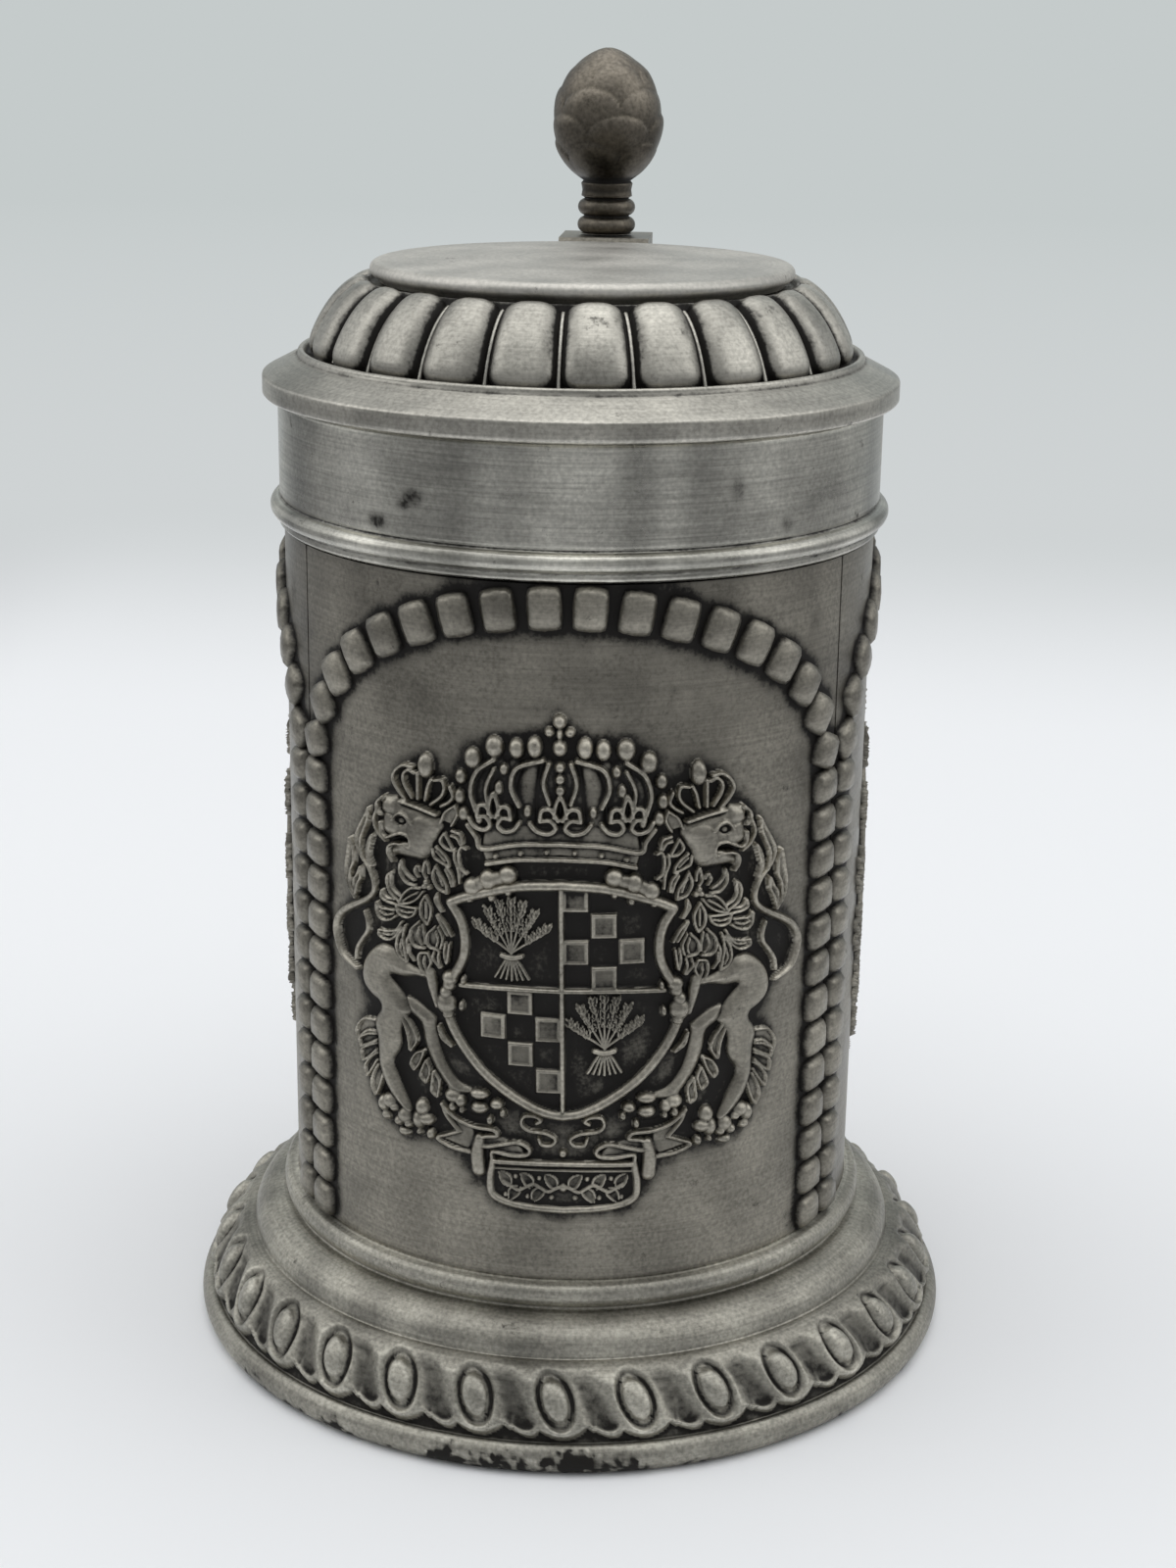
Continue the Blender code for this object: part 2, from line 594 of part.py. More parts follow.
def make_hinge_block():
    """The fixed half of the hinge: a block on the handle's root, slotted for the lid's knuckles."""
    half = HINGE_WIDTH / 2
    block = extruded("hinge_block", tombstone(KNUCKLE_RADIUS, HANDLE_SEAT + SOLDER_GAP), -half, half)
    slot_floor = HINGE_Z - KNUCKLE_RADIUS - HINGE_PLAY
    sides = (HINGE_Y - 2 * KNUCKLE_RADIUS, HINGE_Y + 2 * KNUCKLE_RADIUS)
    top = HINGE_Z + 2 * KNUCKLE_RADIUS
    outline = [(sides[0], slot_floor), (sides[1], slot_floor), (sides[1], top), (sides[0], top)]
    for index in range(1, KNUCKLE_COUNT, 2):
        left, right = knuckle_span(index)
        slot = extruded(f"hinge_block_slot_{index}", outline, left - SOLDER_GAP, right + SOLDER_GAP)
        combine(block, slot, "DIFFERENCE")
    return combine(block, hinge_rod("hinge_block_bore", PIN_BORE, HINGE_WIDTH), "DIFFERENCE")


def flange_line(y):
    """Height of the flange's sloping top at a distance behind the axis."""
    inner = DOME_RADIUS + FILLET_HEIGHT
    share = (y - inner) / (FLANGE_RADIUS - inner)
    return DOME_BOTTOM - share * FLANGE_RISE


def make_lid_strap():
    """The moving half of the hinge: a strap on the flange that carries the thumb lift and two knuckles."""
    half = HINGE_WIDTH / 2
    front = DOME_RADIUS + FILLET_HEIGHT
    back = HINGE_Y + STRAP_BACK
    outline = [(front, flange_line(front) + SOLDER_GAP), (front, STRAP_TOP - STRAP_BEVEL)]
    outline += [(front + STRAP_BEVEL, STRAP_TOP), (back, STRAP_TOP), (back, HINGE_Z + KNUCKLE_RADIUS)]
    outline += arc((HINGE_Y, HINGE_Z), KNUCKLE_RADIUS, KNUCKLE_RADIUS, 70, -180, KNUCKLE_STEPS)
    outline.append((FLANGE_RADIUS, flange_line(FLANGE_RADIUS) + SOLDER_GAP))
    strap = extruded("lid_strap", outline, -half, half)
    clear = tombstone(KNUCKLE_RADIUS + HINGE_PLAY, LID_BOTTOM)
    for index in range(0, KNUCKLE_COUNT, 2):
        left, right = knuckle_span(index)
        slot = extruded(f"lid_strap_slot_{index}", clear, left - SOLDER_GAP, right + SOLDER_GAP)
        combine(strap, slot, "DIFFERENCE")
    return combine(strap, hinge_rod("lid_strap_bore", PIN_BORE, HINGE_WIDTH), "DIFFERENCE")


def make_hinge_pin():
    """The pin through the five knuckles, with a peened head at each end."""
    reach = HINGE_WIDTH / 2 + SOLDER_GAP
    stations = [(-reach - PIN_HEAD_THICKNESS, PIN_HEAD_RADIUS * PIN_HEAD_TAPER)]
    stations.append((-reach - PIN_HEAD_THICKNESS / 2, PIN_HEAD_RADIUS))
    stations += [(-reach, PIN_HEAD_RADIUS), (-reach, PIN_RADIUS)]
    stations += [(-x, radius) for x, radius in reversed(stations)]
    rings = []
    for x, radius in stations:
        points = arc((HINGE_Y, HINGE_Z), radius, radius, 0, 360, PIN_STEPS)[:-1]
        rings.append([Vector((x, y, z)) for y, z in points])
    return skin("hinge_pin", rings)


def cone_radius(share):
    """Radius of the pine cone at a share of its height: fullest near the middle, drawn in to neck and tip."""
    below = share < CONE_FULLEST
    end = CONE_NECK if below else CONE_TIP
    rise = (share - CONE_FULLEST) / (CONE_FULLEST if below else 1 - CONE_FULLEST)
    return CONE_RADIUS * (end + (1 - end) * (1 - rise * rise) ** CONE_ROUNDNESS)


def make_cone(name, base):
    """A pine cone of staggered four-sided scales, each with a raised tip near its upper end."""
    builder = bmesh.new()
    rows = []
    for row in range(SCALE_ROWS + 1):
        share = row / SCALE_ROWS
        turn = math.pi / SCALE_COLUMNS * (row % 2)
        points = circle(cone_radius(share), base + share * CONE_HEIGHT, SCALE_COLUMNS)
        rows.append([builder.verts.new(Matrix.Rotation(turn, 3, "Z") @ point) for point in points])
    builder.faces.new(rows[0])
    builder.faces.new(rows[-1])
    for row in range(SCALE_ROWS + 1):
        share = min(row + SCALE_TIP, SCALE_ROWS) / SCALE_ROWS
        for column in range(SCALE_COLUMNS):
            after = (column + 1) % SCALE_COLUMNS
            facing = after if row % 2 else column
            sides = [rows[row][column], rows[row][after]]
            if row == 0:
                builder.faces.new(sides + [rows[1][facing]])
            elif row == SCALE_ROWS:
                builder.faces.new(sides + [rows[row - 1][facing]])
            else:
                below = rows[row - 1][facing]
                above = rows[row + 1][facing]
                angle = math.tau * (column + 0.5 + 0.5 * (row % 2)) / SCALE_COLUMNS
                reach = cone_radius(share) + SCALE_PROUD
                tip = Vector((reach * math.cos(angle), reach * math.sin(angle), base + share * CONE_HEIGHT))
                peak = builder.verts.new(tip)
                edges = [sides[0], below, sides[1], above]
                for corner in range(4):
                    builder.faces.new([edges[corner], edges[(corner + 1) % 4], peak])
    return to_object(name, builder)


def make_thumb_lift():
    """The pine-cone thumb lift on its ringed stem, standing on the strap in front of the hinge."""
    base = STRAP_TOP + SOLDER_GAP
    ring = STEM_HEIGHT / STEM_RING_COUNT
    outline = []
    for index in range(STEM_RING_COUNT):
        middle = (STEM_RADIUS, base + STEM_HEIGHT - (index + 0.5) * ring)
        outline += arc(middle, STEM_RING_PROUD, STEM_RING_FILL * ring / 2, 90, -90, BEAD_STEPS)
    outline[0] = (STEM_RADIUS, base + STEM_HEIGHT + ring)
    outline[-1] = (STEM_RADIUS + STEM_RING_PROUD, base)
    lift = turned("thumb_lift", outline, joined=False, steps=2 * SCALE_COLUMNS)
    cone = make_cone("thumb_lift_cone", base + STEM_HEIGHT)
    for item in (lift, cone):
        item.location.y = HINGE_Y - THUMB_SETBACK
    return combine(lift, cone, "UNION")


def handle_station(share):
    """Centre and direction of the handle's ear-shaped curve, from its root (0) to its tail (1)."""
    start = DRUM_RADIUS - STAVE_WALL
    half_height = (HANDLE_TOP - HANDLE_FOOT_HEIGHT) / 2
    angle = math.pi * share
    lift = HANDLE_BULGE_LIFT * math.sin(angle) ** 2
    height = HANDLE_FOOT_HEIGHT + half_height * (1 + math.cos(angle)) + lift
    climb = HANDLE_BULGE_LIFT * math.sin(2 * angle) - half_height * math.sin(angle)
    along = Vector((HANDLE_REACH * math.cos(angle), climb))
    return Vector((start + HANDLE_REACH * math.sin(angle), height)), along.normalized()


def make_handle():
    """The C-shaped handle, tapering from a flat-topped root under the hinge to its tail on the drum."""
    rings = []
    for step in range(HANDLE_STEPS + 1):
        share = step / HANDLE_STEPS
        centre, along = handle_station(share)
        half_width = (HANDLE_ROOT_WIDTH + (HANDLE_TAIL_WIDTH - HANDLE_ROOT_WIDTH) * share) / 2
        half_thick = (HANDLE_ROOT_THICKNESS + (HANDLE_TAIL_THICKNESS - HANDLE_ROOT_THICKNESS) * share) / 2
        ring = []
        for corner in range(SECTION_STEPS):
            angle = math.tau * (corner + 0.5) / SECTION_STEPS
            wide = math.copysign(abs(math.cos(angle)) ** (2 / HANDLE_SQUARENESS), math.cos(angle))
            thick = math.copysign(abs(math.sin(angle)) ** (2 / HANDLE_SQUARENESS), math.sin(angle))
            outward = Vector((-along.y, along.x)) * half_thick * thick
            ring.append(Vector((half_width * wide, centre.x + outward.x, centre.y + outward.y)))
        rings.append(ring)
    handle = skin("handle", rings)

    bead_top = RIM_BAND_BOTTOM + FILLET_HEIGHT + BEAD_HEIGHT + SOLDER_GAP
    rim = RIM_RADIUS + SOLDER_GAP
    bead = BEAD_RADIUS + SOLDER_GAP
    relief = RELIEF_RADIUS + SOLDER_GAP
    outline = [(rim, BODY_HEIGHT), (rim, bead_top), (bead, bead_top)]
    outline += [(bead, RIM_BAND_BOTTOM), (relief, RIM_BAND_BOTTOM), (relief, FOOT_HEIGHT)]
    combine(handle, turned("handle_drum_clearance", outline, joined=False), "DIFFERENCE")

    seat_back = HINGE_Y + KNUCKLE_RADIUS + SOLDER_GAP
    above = HANDLE_SEAT + HANDLE_ROOT_THICKNESS
    seat = [(0.0, HANDLE_SEAT), (seat_back, HANDLE_SEAT), (seat_back, above), (0.0, above)]
    cutter = extruded("handle_seat", seat, -HANDLE_ROOT_WIDTH, HANDLE_ROOT_WIDTH)
    return combine(handle, cutter, "DIFFERENCE")


def hang_on_hinge(items):
    """Parents the lid's pieces to an empty on the hinge axis, where they stay as they are."""
    pivot = bpy.data.objects.new("lid_pivot", None)
    bpy.context.collection.objects.link(pivot)
    pivot.location = (0.0, HINGE_Y, HINGE_Z)
    for item in items:
        item.parent = pivot
        item.matrix_parent_inverse = Matrix.Translation(pivot.location).inverted()


def main():
    """Builds the mug and the lid."""
    clear_scene()
    for index, name in enumerate(("front_stave", "right_stave", "left_stave")):
        add_figures = add_side_figures if index else add_front_figures
        finish(make_stave(name, FRONT_ANGLE + math.tau * index / STAVE_COUNT, add_figures), RELIEF_FINISH)
    finish(make_base_plate(), TURNED_FINISH)
    finish(make_rim_band(), TURNED_FINISH)
    finish(make_foot_ring(), FOOT_FINISH)
    finish(make_handle(), HANDLE_FINISH)
    finish(make_hinge_block(), HANDLE_FINISH)
    finish(make_hinge_pin(), PIN_FINISH)
    lid = [finish(make_lid_shell(), LID_FINISH)]
    lid.append(finish(make_lid_disc(), TURNED_FINISH))
    lid.append(finish(make_lid_strap(), LID_FINISH))
    lid.append(finish(make_thumb_lift(), THUMB_FINISH))
    hang_on_hinge(lid)


main()
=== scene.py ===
# %% [markdown]
# # A lidded pewter stein
#
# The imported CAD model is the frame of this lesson: a mug of cast staves, and a lid on a hinge.
# Here it gets its fine shapes and its finishes. Every piece is built in millimetres, in the frame's
# own place, rides on one of the two bodies, and stands for the plain solid that it covers.

# %% Load the frame
import itertools
import json
import math

import bmesh
import bpy
import numpy as np
from mathutils import Matrix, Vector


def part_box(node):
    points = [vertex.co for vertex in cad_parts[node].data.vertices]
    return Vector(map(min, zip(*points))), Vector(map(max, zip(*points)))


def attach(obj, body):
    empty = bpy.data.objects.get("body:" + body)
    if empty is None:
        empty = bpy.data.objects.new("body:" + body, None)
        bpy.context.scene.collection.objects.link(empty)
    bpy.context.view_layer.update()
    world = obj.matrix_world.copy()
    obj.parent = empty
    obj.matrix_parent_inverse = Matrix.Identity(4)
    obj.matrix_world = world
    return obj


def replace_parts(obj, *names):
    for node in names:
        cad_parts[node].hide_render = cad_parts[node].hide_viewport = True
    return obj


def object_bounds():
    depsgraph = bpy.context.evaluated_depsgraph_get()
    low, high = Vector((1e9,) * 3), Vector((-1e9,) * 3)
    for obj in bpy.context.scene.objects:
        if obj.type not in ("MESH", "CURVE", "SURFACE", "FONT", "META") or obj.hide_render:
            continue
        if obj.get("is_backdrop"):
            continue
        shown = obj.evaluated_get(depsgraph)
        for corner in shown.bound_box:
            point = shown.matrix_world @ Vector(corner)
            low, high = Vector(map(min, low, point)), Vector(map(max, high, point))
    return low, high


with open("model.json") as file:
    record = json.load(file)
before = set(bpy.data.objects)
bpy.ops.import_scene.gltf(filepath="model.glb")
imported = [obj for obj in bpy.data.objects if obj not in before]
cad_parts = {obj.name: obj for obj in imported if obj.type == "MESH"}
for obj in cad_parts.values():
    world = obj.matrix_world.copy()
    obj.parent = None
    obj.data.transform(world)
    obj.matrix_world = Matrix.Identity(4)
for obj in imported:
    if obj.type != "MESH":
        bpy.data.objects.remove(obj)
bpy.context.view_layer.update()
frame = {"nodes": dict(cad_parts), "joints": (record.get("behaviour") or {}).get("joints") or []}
MM = 0.001

# %% [markdown]
# ## Sizes
#
# The frame's boxes give the levels that the pieces hang on, so a change in the CAD model moves them too.
# Only the two radii of the drum's wall and the way that its front panel faces are repeated here.

# %% Sizes in mm
BORE = 39.2
DRUM = 41.4
STAVE_LOW, STAVE_HIGH = (corner.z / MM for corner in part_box("front_stave"))
FOOT_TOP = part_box("foot_ring")[1].z / MM
RIM_LOW, RIM_HIGH = (corner.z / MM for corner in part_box("rim_band"))
LID_GAP = 0.3
LID_LOW = RIM_HIGH + LID_GAP
HINGE = [value / MM for value in frame["joints"][0]["pos_m"]]
FRONT = math.radians(2.5) - math.pi / 2
THIRD = math.tau / 3
STAVES = {"front_stave": FRONT, "right_stave": FRONT + THIRD, "left_stave": FRONT + 2 * THIRD}
print("staves from", round(STAVE_LOW, 1), "to", round(STAVE_HIGH, 1), "hinge at", HINGE)

# %% [markdown]
# ## Lattices of points
#
# Most of the stein is turned or cast round one axis. Such a skin is a lattice: rows along an outline,
# columns round the axis. Building it from arrays of points is quick, and it leaves each point's place
# in reach, so that the same arrays can later say which points lie in a hollow.


# %% Lattices and meshes
def lattice(rows, columns, wrap_rows, wrap_columns):
    """The corner numbers of the quads between neighbouring points."""
    row, column = np.meshgrid(np.arange(rows if wrap_rows else rows - 1),
                              np.arange(columns if wrap_columns else columns - 1), indexing="ij")
    below, beside = (row + 1) % rows, (column + 1) % columns
    corners = (row * columns + column, row * columns + beside, below * columns + beside, below * columns + column)
    return np.stack(corners, -1).reshape(-1, 4).tolist()


def tube(rows, columns):
    """The faces of a lattice that closes round its columns, with a flat face at each end."""
    last = (rows - 1) * columns
    return lattice(rows, columns, False, True) + [list(range(columns)), list(range(last, last + columns))]


def add_object(name, data):
    """A new object in the scene, round a mesh, a lamp or a lens."""
    item = bpy.data.objects.new(name, data)
    bpy.context.scene.collection.objects.link(item)
    return item


def make_piece(name, points, faces, finish):
    """A smooth mesh whose faces point outwards, with one finish."""
    mesh = bpy.data.meshes.new(name)
    mesh.from_pydata((np.reshape(points, (-1, 3)) * MM).tolist(), [], faces)
    builder = bmesh.new()
    builder.from_mesh(mesh)
    bmesh.ops.recalc_face_normals(builder, faces=builder.faces)
    builder.to_mesh(mesh)
    builder.free()
    mesh.shade_smooth()
    mesh.materials.append(finish)
    return add_object(name, mesh)


print("a tube of 3 rows and 4 columns has", len(tube(3, 4)), "faces")

# %% [markdown]
# ## Hollows
#
# The dark patina stays where rubbing cannot reach. How far a point lies below its smoothed surroundings
# says where that is. Some pieces add painted shade to that depth, and painted light as a negative depth.
# Each mesh keeps that depth as an attribute of its points, and the finishes read it.

# %% Depth of the hollows
PATINA_AND_SHADE = "patina_and_shade_depth"


def store_patina_and_shade(piece, depths):
    """Stores how deep each point lies in a hollow, in mm, plus any painted shade and minus any painted light that a
    piece adds: the dark patina follows it.
    """
    attribute = piece.data.attributes.new(PATINA_AND_SHADE, "FLOAT", "POINT")
    attribute.data.foreach_set("value", np.asarray(depths, np.float32).ravel())


def hollows(piece, points, wrap, passes):
    """How far each lattice point lies below its smoothed surroundings, in mm."""
    normals = np.zeros(len(piece.data.vertices) * 3, np.float32)
    piece.data.vertex_normals.foreach_get("vector", normals)
    smooth = points.copy()
    for _ in range(passes):
        moved = smooth.copy()
        for axis in (0, 1):
            sides = np.roll(smooth, 1, axis) + np.roll(smooth, -1, axis) - 2 * smooth
            if not wrap[axis]:
                sides[[0, -1] if axis == 0 else (slice(None), [0, -1])] = 0
            moved += sides / 8
        smooth = moved
    return ((smooth - points) * normals.reshape(points.shape)).sum(-1)


def marked(across, up, marks):
    """The depth that soft dark marks add, each given as (u, z, half width, half height, strength)."""
    return sum(strength * np.exp(-((across - u) / wide) ** 2 - ((up - z) / high) ** 2)
               for u, z, wide, high, strength in marks)


print("depth in the middle of a mark of 0.2 mm:", marked(0, 0, [(0, 0, 1, 1, 0.2)]))

# %% [markdown]
# ## Turned outlines
#
# A lathe cuts one outline all the way round. These helpers draw such an outline from points and arcs,
# fill it with evenly spaced points, and spin it about Z.

# %% Outlines
TURNED_COLUMNS, TURNED_BLUR = 288, 10


def trace(outline, spacing):
    """Fills an outline with evenly spaced points, and keeps its corners."""
    filled = []
    for start, end in zip(outline, outline[1:]):
        count = max(1, round(math.dist(start, end) / spacing))
        filled += [np.array(start) + (np.array(end) - start) * step / count for step in range(count)]
    return np.array(filled + [np.array(outline[-1])])


def arc(centre, reach, rise, start, end, steps):
    """Points of an elliptical arc, from the start to the end angle in degrees."""
    angles = np.radians(np.linspace(start, end, steps + 1))
    return [(centre[0] + reach * math.cos(a), centre[1] + rise * math.sin(a)) for a in angles]


def spin(radii, heights, angles):
    """Lattice points from radii and heights, one row for each outline point."""
    rows = [values if np.ndim(values) == 2 else np.reshape(values, (-1, 1)) for values in (radii, heights)]
    radii, heights = (np.broadcast_to(values, (len(values), len(angles))) for values in rows)
    return np.stack([radii * np.cos(angles), radii * np.sin(angles), heights], -1)


def turned(name, outline, finish, ring, spacing=0.45, marks=()):
    """Turns an outline about Z into a ring, or into a solid with flat ends, with dark marks on it."""
    line = trace(outline + outline[:1] if ring else outline, spacing)
    line = line[:-1] if ring else line
    angles = np.arange(TURNED_COLUMNS) * math.tau / TURNED_COLUMNS
    points = spin(line[:, 0], line[:, 1], angles)
    size = len(line), TURNED_COLUMNS
    faces = lattice(*size, True, True) if ring else tube(*size)
    piece = make_piece(name, points, faces, finish)
    across = ((angles - FRONT + math.pi) % math.tau - math.pi) * DRUM
    store_patina_and_shade(piece, hollows(piece, points, (ring, True), TURNED_BLUR) + marked(across, line[:, 1:], marks))
    print(name, len(faces), "faces")
    return piece


print("an outline of 10 mm has", len(trace([(0, 0), (10, 0)], 0.45)), "points at 0.45 mm")

# %% [markdown]
# ## Colours and nodes
#
# A colour is written as the sRGB hex value that the eye would name, and one function turns it into the
# linear numbers that shaders take. One small function adds a node, with its settings and its links.


# %% Node helpers
def linear(code):
    """An sRGB hex colour as linear RGBA."""
    parts = [int(code[place:place + 2], 16) / 255 for place in (1, 3, 5)]
    return (*[c / 12.92 if c <= 0.04045 else ((c + 0.055) / 1.055) ** 2.4 for c in parts], 1.0)


def add_node(tree, kind, sockets=None, **settings):
    """Adds a node, sets its properties, and gives its sockets a value or a link."""
    node = tree.nodes.new(kind)
    for key, value in settings.items():
        setattr(node, key, value)
    for socket, source in (sockets or {}).items():
        if isinstance(source, bpy.types.NodeSocket):
            tree.links.new(source, node.inputs[socket])
        else:
            node.inputs[socket].default_value = source
    return node


def per_mm(size):
    """The texture scale whose pattern repeats about once in a size given in mm."""
    return 1 / (size * MM)


print("the grey #808080 is", round(linear("#808080")[0], 3), "in linear light")

# %% [markdown]
# ## Antiqued pewter
#
# Pewter is a soft grey tin alloy. These castings were dipped in a dark patina and rubbed bright again,
# so hollows stay nearly black and ridges shine. The points' stored depth says where the black stays.
# The same depth carries painted shade, which darkens like patina, and painted light, which brightens like wear.
# A fine grain breaks its edge, as rubbing does, and slow mottling and small tarnish spots vary the grey.
# Turned bands also carry level tool lines: noise read by radius and height alone draws them.


# %% Antiqued pewter
def antiqued_pewter(name, bright, middle, dark, rubbed, lines, spots, roughness, mottle, reflection_bands):
    """Cast pewter with a dark patina. rubbed is the depth in mm where the patina starts and where it is full."""
    finish = bpy.data.materials.new(name)
    finish.use_nodes = True
    tree = finish.node_tree
    place = add_node(tree, "ShaderNodeTexCoord").outputs["Object"]
    apart = add_node(tree, "ShaderNodeSeparateXYZ", {0: place}).outputs
    level, upright = (add_node(tree, "ShaderNodeVectorMath", {0: place, 1: (1, 1, share)},
                               operation="MULTIPLY").outputs[0] for share in (0, 0.04))
    radius = add_node(tree, "ShaderNodeVectorMath", {0: level}, operation="LENGTH").outputs["Value"]
    slow = add_node(tree, "ShaderNodeMath", {0: apart["X"], 1: 0.03}, operation="MULTIPLY").outputs[0]
    tool = add_node(tree, "ShaderNodeCombineXYZ", {0: radius, 1: slow, 2: apart["Z"]}).outputs[0]

    # Five noises, each with its size in mm: grain, slow clouds, blots, tool lines and broad upright bands. The upright
    # bands are painted reflections of the room.
    # Real tool lines lie about 0.1 mm apart. They are drawn at 0.32 mm, because finer ones would not show.
    grain, cloud, blot, mark, broad = (
        add_node(tree, "ShaderNodeTexNoise", {"Vector": vector, "Scale": per_mm(size), "Detail": detail,
                                              "Roughness": rough}).outputs["Fac"]
        for vector, size, detail, rough in ((place, 0.55, 3, 0.5), (place, 9, 4, 0.5), (place, 4.5, 6, 0.7),
                                            (tool, 0.32, 3, 0.5), (upright, 11, 1, 0.5)))

    # Grain and blots break the patina's edge. Spots sit where both are strong.
    depth = add_node(tree, "ShaderNodeAttribute", attribute_name=PATINA_AND_SHADE).outputs["Fac"]
    lift = add_node(tree, "ShaderNodeMath", {0: grain, 1: 0.26, 2: -0.13 - 0.2 * mottle},
                    operation="MULTIPLY_ADD").outputs[0]
    lift = add_node(tree, "ShaderNodeMath", {0: blot, 1: 0.4 * mottle, 2: lift}, operation="MULTIPLY_ADD").outputs[0]
    depth = add_node(tree, "ShaderNodeMath", {0: depth, 1: lift}, operation="ADD").outputs[0]
    black = add_node(tree, "ShaderNodeMapRange", {"Value": depth, "From Min": rubbed[0], "From Max": rubbed[1]},
                     interpolation_type="SMOOTHSTEP").outputs["Result"]
    wear_and_painted_light = add_node(tree, "ShaderNodeMapRange", {"Value": depth, "From Min": -0.02,
                                                 "From Max": -0.35}).outputs["Result"]
    speck = add_node(tree, "ShaderNodeMath", {0: grain, 1: 0.22, 2: blot}, operation="MULTIPLY_ADD").outputs[0]
    spot = add_node(tree, "ShaderNodeMapRange", {"Value": speck, "From Min": 0.75, "From Max": 0.84,
                                                 "To Max": spots}).outputs["Result"]
    patina_shade_and_spots = add_node(tree, "ShaderNodeMath", {0: black, 1: spot}, operation="MAXIMUM").outputs[0]

    # Each noise makes the metal a little darker or lighter.
    shade = 1.0
    for source, spread, darker, lighter in ((cloud, 0.2, 0.28 * mottle, 0.12 * mottle),
                                            (mark, 0.2, 0.35 * lines, 0.25 * lines),
                                            (grain, 0.2, 0.24 * mottle, 0.14 * mottle),
                                            (broad, 0.15, 0.25 * reflection_bands, 0.15 * reflection_bands)):
        gain = add_node(tree, "ShaderNodeMapRange", {
            "Value": source, "From Min": 0.5 - spread, "From Max": 0.5 + spread, "To Min": 1 - darker,
            "To Max": 1 + lighter}).outputs["Result"]
        shade = add_node(tree, "ShaderNodeMath", {0: shade, 1: gain}, operation="MULTIPLY").outputs[0]
    grey = add_node(tree, "ShaderNodeMix", {"Factor": wear_and_painted_light, 6: linear(middle), 7: linear(bright)},
                    data_type="RGBA").outputs[2]
    metal = add_node(tree, "ShaderNodeVectorMath", {0: grey, "Scale": shade}, operation="SCALE").outputs[0]
    colour = add_node(tree, "ShaderNodeMix", {"Factor": patina_shade_and_spots, 6: metal, 7: linear(dark)}, data_type="RGBA").outputs[2]

    # Patina, painted shade and spots are duller and rougher than metal. Grain and tool lines are cut 0.05 mm deep.
    shine = add_node(tree, "ShaderNodeMapRange", {"Value": patina_shade_and_spots, "To Min": 1.0, "To Max": 0.5}).outputs["Result"]
    matt = add_node(tree, "ShaderNodeMapRange", {
        "Value": cloud, "From Min": 0.3, "From Max": 0.7, "To Min": roughness - 0.05,
        "To Max": roughness + 0.08}).outputs["Result"]
    matt = add_node(tree, "ShaderNodeMath", {0: patina_shade_and_spots, 1: 0.22, 2: matt}, operation="MULTIPLY_ADD").outputs[0]
    cut = add_node(tree, "ShaderNodeMath", {0: mark, 1: lines, 2: grain}, operation="MULTIPLY_ADD").outputs[0]
    bump = add_node(tree, "ShaderNodeBump", {"Height": cut, "Strength": 0.5, "Distance": 0.05 * MM}).outputs["Normal"]
    for socket, source in (("Base Color", colour), ("Metallic", shine), ("Roughness", matt), ("Normal", bump)):
        tree.links.new(source, tree.nodes["Principled BSDF"].inputs[socket])
    print(name, len(tree.nodes), "nodes")
    return finish


# %% Pewter finishes
# Colours of rubbed metal, plain metal and patina, the patina's depths, and then the strength of
# tool lines, the darkness of spots, the roughness, and the strength of mottling and of the upright bands of painted
# reflection.
cast_pewter = antiqued_pewter(
    "antiqued_cast_pewter", "#afaa9e", "#8d897f", "#14110e", (0.04, 0.34), 0.4, 0.7, 0.38, 1.3, 0.4)
turned_pewter = antiqued_pewter(
    "turned_pewter", "#d0cec5", "#bdbbb2", "#1d1a16", (0.05, 0.32), 0.6, 0.8, 0.3, 1.0, 1.7)
lid_pewter = antiqued_pewter(
    "rubbed_lid_pewter", "#c2bfb6", "#b4b1a8", "#15120e", (0.05, 0.34), 0.35, 0.7, 0.36, 1.1, 0.3)
disc_pewter = antiqued_pewter(
    "bright_disc_pewter", "#cecdc5", "#c6c3bc", "#1d1a16", (0.05, 0.34), 0.2, 0.7, 0.5, 0.7, 0.0)
foot_pewter = antiqued_pewter(
    "tarnished_foot_pewter", "#bfbcb1", "#a19e94", "#171410", (0.04, 0.5), 0.4, 0.8, 0.45, 1.5, 0.5)
thumb_pewter = antiqued_pewter(
    "brown_patina_pewter", "#978f83", "#6a645a", "#14110d", (-0.02, 0.4), 0.0, 0.6, 0.4, 1.8, 0.0)

# %% [markdown]
# ## Modelling in wax
#
# The relief on the staves was modelled by hand and cast with the wall. Here a flat sheet of heights
# takes the place of the modeller's wax. Rolls, balls, leaves and plates are laid on it one by one, and
# the higher one wins where they overlap, as it does when wax is pressed on wax. A sheet can mirror what
# is laid on it, so a figure that is alike on both sides is written down once.


# %% Smooth lines and soft heights
def smooth_line(points, steps=6):
    """A smooth run through a few chosen points, whatever values they hold."""
    points = np.array(points, float)
    ends = np.vstack([2 * points[0] - points[1], points, 2 * points[-1] - points[-2]])
    share = np.linspace(0, 1, steps, endpoint=False)[:, None]
    runs = []
    for a, b, c, d in zip(ends, ends[1:], ends[2:], ends[3:]):
        runs.append(b + share / 2 * (c - a + share * (2 * a - 5 * b + 4 * c - d + share * (3 * (b - c) + d - a))))
    return np.vstack(runs + [points[-1:]])


def soften(heights, reach):
    """Blurs a sheet of heights over a reach given in lattice steps."""
    steps = np.arange(-math.ceil(3 * reach), math.ceil(3 * reach) + 1)
    weights = np.exp(-0.5 * (steps / reach) ** 2)
    weights /= weights.sum()
    for axis in (0, 1):
        heights = np.apply_along_axis(np.convolve, axis, heights, weights, "same")
    return heights


print("a line through 3 points gets", len(smooth_line([(0, 0), (1, 1), (2, 0)])), "points")


